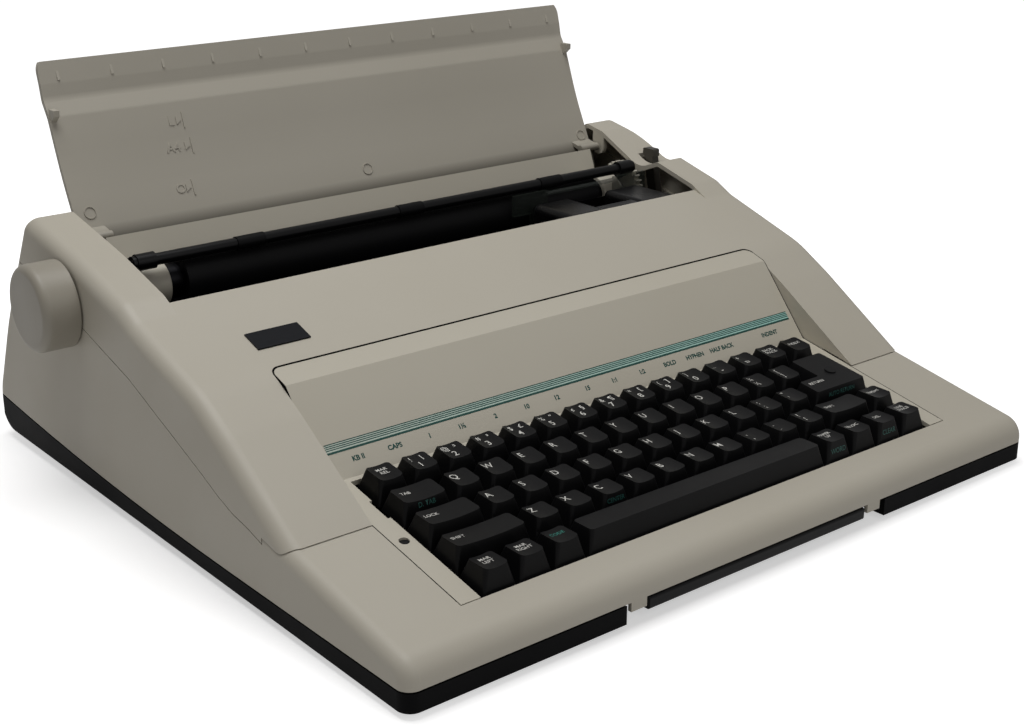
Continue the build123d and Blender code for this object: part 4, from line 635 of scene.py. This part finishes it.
# Words for the settings that the keys choose, each with its middle's place across in mm
SETTINGS = [("KB II", -134.8), ("CAPS", -115.0), ("1", -95.5), ("1½", -77.0), ("2", -57.0),
            ("10", -38.0), ("12", -19.0), ("15", 1.0), ("1:1", 19.0), ("1:2", 38.0),
            ("BOLD", 57.6), ("HYPHEN", 75.8), ("HALF BACK", 95.6), ("INDENT", 132.7)]
SETTING = 3.3 * MM
SETTING_UP = 7.8 * MM                        # up the face, to the words' middle
SETTING_STROKE = 0.13                        # added to each side of a stroke, in mm
setting_meshes = []
for text, x in SETTINGS:
    place = face_frame @ Matrix.Translation((x * MM, SETTING_UP, 0))
    mesh = lettering(text, SETTING, place, SETTING_STROKE)
    print_on(mesh, panel_surface, into_face)
    setting_meshes.append(mesh)
settings = mesh_object("printed_settings", join_meshes("printed_settings", setting_meshes),
                       teal_ink)

# The panel's outline in plan: half its width, its rear edge and its corners' radius
PANEL_HALF = 154.5 * MM
PANEL_REAR = 159.5 * MM
PANEL_CORNER = 4.5 * MM
SEAM_FRONT = 24.0 * MM                       # where the strip starts, behind the panel's front
SEAM_STATION = 1.3 * MM                      # between two sections of the strip
SIDE_GAP = 0.5 * MM
REAR_GAP = 0.9 * MM
SHADOW_STRIP_RISE = 0.6 * MM                         # of the strip's top above the panel, at the rear
SHADOW_STRIP_HEIGHT = 1.6 * MM
SHADOW_STRIP_PLAY = 0.03 * MM                        # to the plastic on each side
CORNER_STEPS = 8
JUST_INSIDE = 0.4 * MM                       # from the panel's edge, where its height is read


def seam_stations():
    """Points along the panel's edge in plan, each with its outward direction."""
    count = int((PANEL_REAR - PANEL_CORNER - SEAM_FRONT) / SEAM_STATION)
    side = [(-PANEL_HALF, SEAM_FRONT + i * SEAM_STATION, -1.0, 0.0) for i in range(count)]
    turns = [math.radians(90 * i / CORNER_STEPS) for i in range(CORNER_STEPS + 1)]
    corner = [(-PANEL_HALF + PANEL_CORNER * (1 - math.cos(t)),
               PANEL_REAR - PANEL_CORNER * (1 - math.sin(t)), -math.cos(t), math.sin(t))
              for t in turns]
    half = side + corner
    return half + [(-x, y, -dx, dy) for x, y, dx, dy in reversed(half)]


def seam_shadow_strip():
    """A black strip of painted shadow that fills the seam from the panel's edge to the cover's."""
    points, faces = [], []
    for x, y, dx, dy in seam_stations():
        edge = Vector((x, y, 0.0)) + CENTRE
        out = Vector((dx, dy, 0.0))
        start = edge - out * JUST_INSIDE + Vector((0, 0, cad_box[1][2]))
        height = panel_surface.ray_cast(start, Vector((0, 0, -1)))[0].z + SHADOW_STRIP_RISE * abs(dy)
        gap = SIDE_GAP * abs(dx) + REAR_GAP * abs(dy)
        for reach, drop in ((SHADOW_STRIP_PLAY, 0.0), (gap - SHADOW_STRIP_PLAY, 0.0),
                            (gap - SHADOW_STRIP_PLAY, SHADOW_STRIP_HEIGHT), (SHADOW_STRIP_PLAY, SHADOW_STRIP_HEIGHT)):
            place = edge + out * reach
            points.append((place.x, place.y, height - drop))
    for i in range(0, len(points) - 4, 4):
        for a, b in ((0, 1), (1, 2), (2, 3), (3, 0)):
            faces.append((i + a, i + b, i + b + 4, i + a + 4))
    mesh = bpy.data.meshes.new("panel_seam_shadow")
    mesh.from_pydata(points, [], faces)
    return mesh


# A black strip of painted shadow is pressed into the seam round the panel, a little proud at the
# rear. It reflects next to nothing, so the seam shows as a soft black line.
painted_seam_shadow = rubber("black painted seam shadow", "060606", "0B0B0B", tooth_mm=0.8, roughness=0.9, shine=0.04)
seam_shadow = mesh_object("panel_seam_shadow", seam_shadow_strip(), painted_seam_shadow)
for piece in (band, tint, settings, seam_shadow):
    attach(piece, "machine")

# Side frames, brackets and motors
# Two sheet-steel plates carry everything that turns. They are blackened and oiled, so they stay
# dark in the well. The stepping motors are screwed to them and to the belt's brackets.
dress(brushed("blackened sheet steel", "1E1E20", "2A2A2C", brush_mm=1.2, roughness=0.45),
      "side_frame_left", "side_frame_right", "belt_brackets")
# Plated and drawn cases have a dull dark sheen, a little lighter than the frames.
dress(brushed("dark plated motor case", "2E2F31", "3B3C3F", brush_mm=0.8, roughness=0.42),
      "stepper_motors")

# Platen and paper feed
# A rubber-covered roller on a black anodised tube, with a grey cap pressed on each end. It
# turns in acetal bushes, and a white acetal gear pair drives it.

# Ground rubber is a deep black with a soft sheen along its length.
platen_rubber = rubber("ground black platen rubber", "080809", "0D0D0E", tooth_mm=0.5,
                       roughness=0.5, shine=0.1)
dress(platen_rubber, "platen_rubber", "feed_rollers")
# The tube's anodising is a satin black, and ground steel is bright with fine lines.
dress(brushed("black anodised tube", "18181A", "232325", brush_mm=0.5, roughness=0.4),
      "platen_core")
dress(brushed("ground bright steel", "8E9092", "A2A4A6", brush_mm=0.4, roughness=0.28),
      "platen_shaft", "lid_hinge_pins")
dress(panel_abs, "platen_end_caps")
# Natural acetal is a milky off-white, slightly see-through at thin edges.
dress(moulded("natural acetal", "C9C5B8", "BFBBAD", grain_mm=1.2, grain_depth_mm=0.004,
              roughness=0.4, polish=0.08),
      "platen_gear", "feed_pinion", "platen_bushes", "drive_pulley", "idler_pulley")

# Paper pan, table and bail
# The pan under the platen is blackened sheet, dark and dull. The table is a grey moulded strip
# behind it. The bail is a japanned bar with thin rubber sleeves, on two arms that swing forward.
dress(brushed("blackened pan sheet", "202022", "2C2C2E", brush_mm=1.0, roughness=0.4),
      "paper_pan")
dress(panel_abs, "paper_table")
# Japan is a baked black varnish: even, deep, and glossy on the round of the bar.
dress(moulded("black japanned steel", "0A0A0B", "101011", grain_mm=1.5, grain_depth_mm=0.003,
              roughness=0.34, polish=0.06, shine=0.2),
      "bail_bar")
dress(platen_rubber, "bail_rollers")

# Rails and belt drive
# Two ground steel bars that the carriage rides on, and a matt rubber belt over two pulleys that
# pulls it along. A film of oil and dust takes the shine off the steel.
dress(brushed("oiled ground steel", "5C5E60", "6E7072", brush_mm=0.4, roughness=0.3),
      "guide_rails")
dress(rubber("black neoprene belt", "121213", "1C1C1D", tooth_mm=0.6, roughness=0.6),
      "drive_belt")

# Print carriage and type wheel
# A black acetal frame with a motor, a hammer and the type wheel: a hub with 48 thin petals,
# each with a character moulded on its tip. The wheel is pushed onto the motor's shaft.
dress(acetal, "carriage_frame")
# The motor's can and the hammer are plated dark, with fine drawn lines.
dress(brushed("dark plated motor can", "2B2C2E", "38393B", brush_mm=0.8, roughness=0.42),
      "wheel_motor", "print_hammer")
# Petal nylon is smooth, half glossy and a little lighter than the frame's acetal.
wheel_nylon = moulded("black petal nylon", "101011", "161617", grain_mm=1.0, grain_depth_mm=0.003,
                      roughness=0.36, polish=0.08, shine=0.3)
dress(wheel_nylon, "type_wheel")

CHARACTERS = 48
WHEEL_MIDDLE = Vector((0.118, 0.2565, 0.066)) + CENTRE
SLUG_CIRCLE = 31.3 * MM                      # radius of the ring of characters


def slug_ring(tree, size):
    """A block on the tip of each petal, turned to point outwards."""
    tips = add(tree, "GeometryNodeMeshCircle", {"Vertices": size["Characters"],
                                                "Radius": size["Radius"]})
    block = add(tree, "ShaderNodeCombineXYZ", {"X": size["Length"], "Y": size["Width"],
                                               "Z": size["Thickness"]})
    slug = add(tree, "GeometryNodeMeshCube", {"Size": block.outputs[0]})
    outwards = add(tree, "FunctionNodeAlignRotationToVector", {
        "Vector": add(tree, "GeometryNodeInputPosition").outputs[0]}, axis="X")
    return add(tree, "GeometryNodeInstanceOnPoints", {
        "Points": tips.outputs["Mesh"], "Instance": slug.outputs["Mesh"],
        "Rotation": outwards.outputs["Rotation"]}).outputs[0]


slugs = grown("type_slugs", {"Characters": CHARACTERS, "Radius": SLUG_CIRCLE,
                             "Length": 3.0 * MM, "Width": 2.1 * MM, "Thickness": 1.5 * MM},
              slug_ring, wheel_nylon)
slugs.transform(Matrix.Translation(WHEEL_MIDDLE) @ facing_typist)
slug_piece = mesh_object("type_slugs", slugs, wheel_nylon)
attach(slug_piece, nodes["type_wheel"]["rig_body"])

# Ribbon cassette and card holder
# The cassette is a black styrene box with two lobes, clipped on top of the carriage. The card
# holder behind it is a pair of clear plates that press the paper on the platen.

# Styrene is glossier than ABS and shows small scuffs.
dress(moulded("black cassette styrene", "09090A", "0E0E0F", grain_mm=1.5, grain_depth_mm=0.003,
              roughness=0.32, polish=0.1, shine=0.16),
      "ribbon_cassette")


HAZE = 300.0                                 # hazy spots in a metre


def clear_styrene():
    """Smoked clear plate, slightly green and hazy: see-through, with a polished face."""
    material, tree = new_material("hazy clear styrene")
    place = add(tree, "ShaderNodeTexCoord").outputs["Object"]
    haze = add(tree, "ShaderNodeTexNoise", {"Vector": place, "Scale": HAZE, "Detail": 3.0})
    gloss = add(tree, "ShaderNodeMapRange", {"Value": haze.outputs["Fac"], "To Min": 0.08,
                                             "To Max": 0.22})
    shader = add(tree, "ShaderNodeBsdfPrincipled", {
        "Base Color": colour("333934"), "Roughness": gloss.outputs["Result"], "IOR": 1.58,
        "Alpha": 0.35})
    finish_material(tree, shader)
    return material


dress(clear_styrene(), "card_holder")

# Covers, knob and lever
# The lower cover hooks into the tray and the upper one is screwed down on it, both in warm grey
# ABS with a spark-eroded matt grain. The knob is pressed on the platen's shaft.

# The grain gives a soft even tone, with polished patches where hands rest. It is about
# 0.25 mm in fact and is drawn at 0.8 mm so that it shows.
case_abs = moulded("warm grey ABS", "BFBAAD", "B8B2A3", grain_mm=0.8, grain_depth_mm=0.012,
                   roughness=0.56, polish=0.1)
dress(case_abs, "lower_cover", "upper_cover")
# The knob is a darker batch of the same plastic, polished round its rim by fingers.
dress(moulded("darker knob ABS", "9F9A8E", "979184", grain_mm=0.8, grain_depth_mm=0.01,
              roughness=0.5, polish=0.14),
      "platen_knob")
# The lever is the same plastic in a darker grey, greasy from fingers.
dress(moulded("dark grey lever ABS", "45423C", "3C3934", grain_mm=0.8, grain_depth_mm=0.008,
              roughness=0.42, polish=0.12, shine=0.3),
      "release_lever")

# Badge
# A small plate of dark anodised aluminium, stuck in a shallow seat on the slope. It is bare,
# and its brushed face shows fine lines along its length.
dress(brushed("dark anodised badge", "1E1F22", "28292C", brush_mm=0.3, roughness=0.4),
      "badge_plate")

# Lid
# A bent plate of the same grey ABS with a hinge barrel at each end. Its inner face carries low
# raised marks for the paper's left edge, and the rings that ejector pins leave in a moulding.

# The lid's plastic is set a little darker than the covers', even and matt.
lid_abs = moulded("lid grey ABS", "B1ACA0", "AAA598", grain_mm=0.8, grain_depth_mm=0.012,
                  roughness=0.56, polish=0.08)
LID_ROOT_LOW = 0.1165                        # heights in metres between which the painted shade fades
LID_ROOT_HIGH = 0.123
ROOT_SHADE = 0.9                                  # share of the painted shade at the root


def with_painted_root_shade(material, low, high):
    """The same plastic with painted shade: darker towards its lower edge."""
    shaded = material.copy()
    tree = shaded.node_tree
    shader = next(n for n in tree.nodes if n.type == "BSDF_PRINCIPLED")
    unshaded_tone = shader.inputs["Base Color"].links[0].from_socket
    place = add(tree, "ShaderNodeTexCoord").outputs["Object"]
    parts = add(tree, "ShaderNodeSeparateXYZ", {"Vector": place})
    near = add(tree, "ShaderNodeMapRange", {"Value": parts.outputs["Z"], "From Min": low,
                                            "From Max": high, "To Min": ROOT_SHADE,
                                            "To Max": 0.0})
    # The colour mixed in below is the painted shade.
    tone = add(tree, "ShaderNodeMix", {"Factor": near.outputs["Result"], "A": unshaded_tone,
                                       "B": colour("5E5A50")}, data_type="RGBA")
    tree.links.new(tone.outputs["Result"], shader.inputs["Base Color"])
    return shaded


# The root of the lid, which dips into the well and turns away from the light, is darkened with
# painted shade.
dress(with_painted_root_shade(lid_abs, LID_ROOT_LOW, LID_ROOT_HIGH), "paper_lid")
lid_surface = surface_of(["paper_lid"])
lid_body = nodes["paper_lid"]["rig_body"]
LID_REACH = 0.2                              # metres in front of the lid, where a search starts
RELIEF = 0.5                                 # height of the marks, in mm
ROOTED = 0.1                                 # depth of the bars' and rings' base, in mm
LETTER_OUT = 0.1 * MM                        # of the letters' middle plane from the lid
MARK_STROKE = 0.1                            # added to each side of a raised stroke, in mm
# Each mark: words, their place across, the bar's place across, and the height on the machine,
# in mm
PAPER_MARKS = [("L", -106.0, -99.0, 166.0), ("A4", -108.0, -97.4, 153.0),
               ("O", -110.0, -103.0, 133.0)]
MARK = 7.0 * MM                              # height of the letters
POINTER = [(-4.2, -2.0), (-1.2, 0.0), (-4.2, 2.0)]
BAR = [(-0.35, -4.2), (0.35, -4.2), (0.35, 4.2), (-0.35, 4.2)]
# Place across and height on the machine of each ring's middle, in mm
EJECTOR_MARKS = [(5.5, 127.3), (165.4, 125.4), (-162.6, 129.2)]
EJECTOR_RADIUS = 3.2
EJECTOR_RIM = 0.4
RING_STEPS = 40


def on_lid(x, z):
    """Frame on the lid's inner face: X across, Y up the face, Z out of it."""
    start = Vector((x * MM, -LID_REACH, z * MM)) + Vector((CENTRE.x, 0, 0))
    hit, normal = lid_surface.ray_cast(start, Vector((0, 1, 0)))[:2]
    across = Vector((1, 0, 0))
    normal = Vector((0, normal.y, normal.z)).normalized()
    turn = Matrix((across, normal.cross(across), normal)).transposed().to_4x4()
    return Matrix.Translation(hit) @ turn


def raised(loops, place):
    """A low prism over one outline, or between an inner and an outer one."""
    top = RELIEF * MM
    base = -ROOTED * MM
    count = len(loops[0])
    rings = [[(x * MM, y * MM, z) for x, y in loop] for loop in loops for z in (base, top)]
    points = [point for ring in rings for point in ring]
    faces = []
    if len(loops) == 1:
        faces.append([count + i for i in range(count)])
        order = [(0, count)]
    else:
        order = [(0, count), (count, 3 * count), (3 * count, 2 * count)]
    for low, high in order:
        for i in range(count):
            j = (i + 1) % count
            faces.append((low + i, low + j, high + j, high + i))
    mesh = bpy.data.meshes.new("raised")
    mesh.from_pydata(points, [], faces)
    mesh.transform(place)
    return mesh


def circle(radius):
    """Points round a circle, in mm."""
    turns = [2 * math.pi * i / RING_STEPS for i in range(RING_STEPS)]
    return [(radius * math.cos(t), radius * math.sin(t)) for t in turns]


marks = []
for text, x, bar_x, z in PAPER_MARKS:
    place = on_lid(x, z) @ Matrix.Translation((0, 0, LETTER_OUT))
    marks.append(lettering(text, MARK, place, MARK_STROKE, RELIEF))
    place = on_lid(bar_x, z)
    marks.append(raised([POINTER], place))
    marks.append(raised([BAR], place))
for x, z in EJECTOR_MARKS:
    marks.append(raised([circle(EJECTOR_RADIUS), circle(EJECTOR_RADIUS - EJECTOR_RIM)],
                        on_lid(x, z)))
lid_marks = mesh_object("lid_marks", join_meshes("lid_marks", marks), lid_abs)
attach(lid_marks, lid_body)
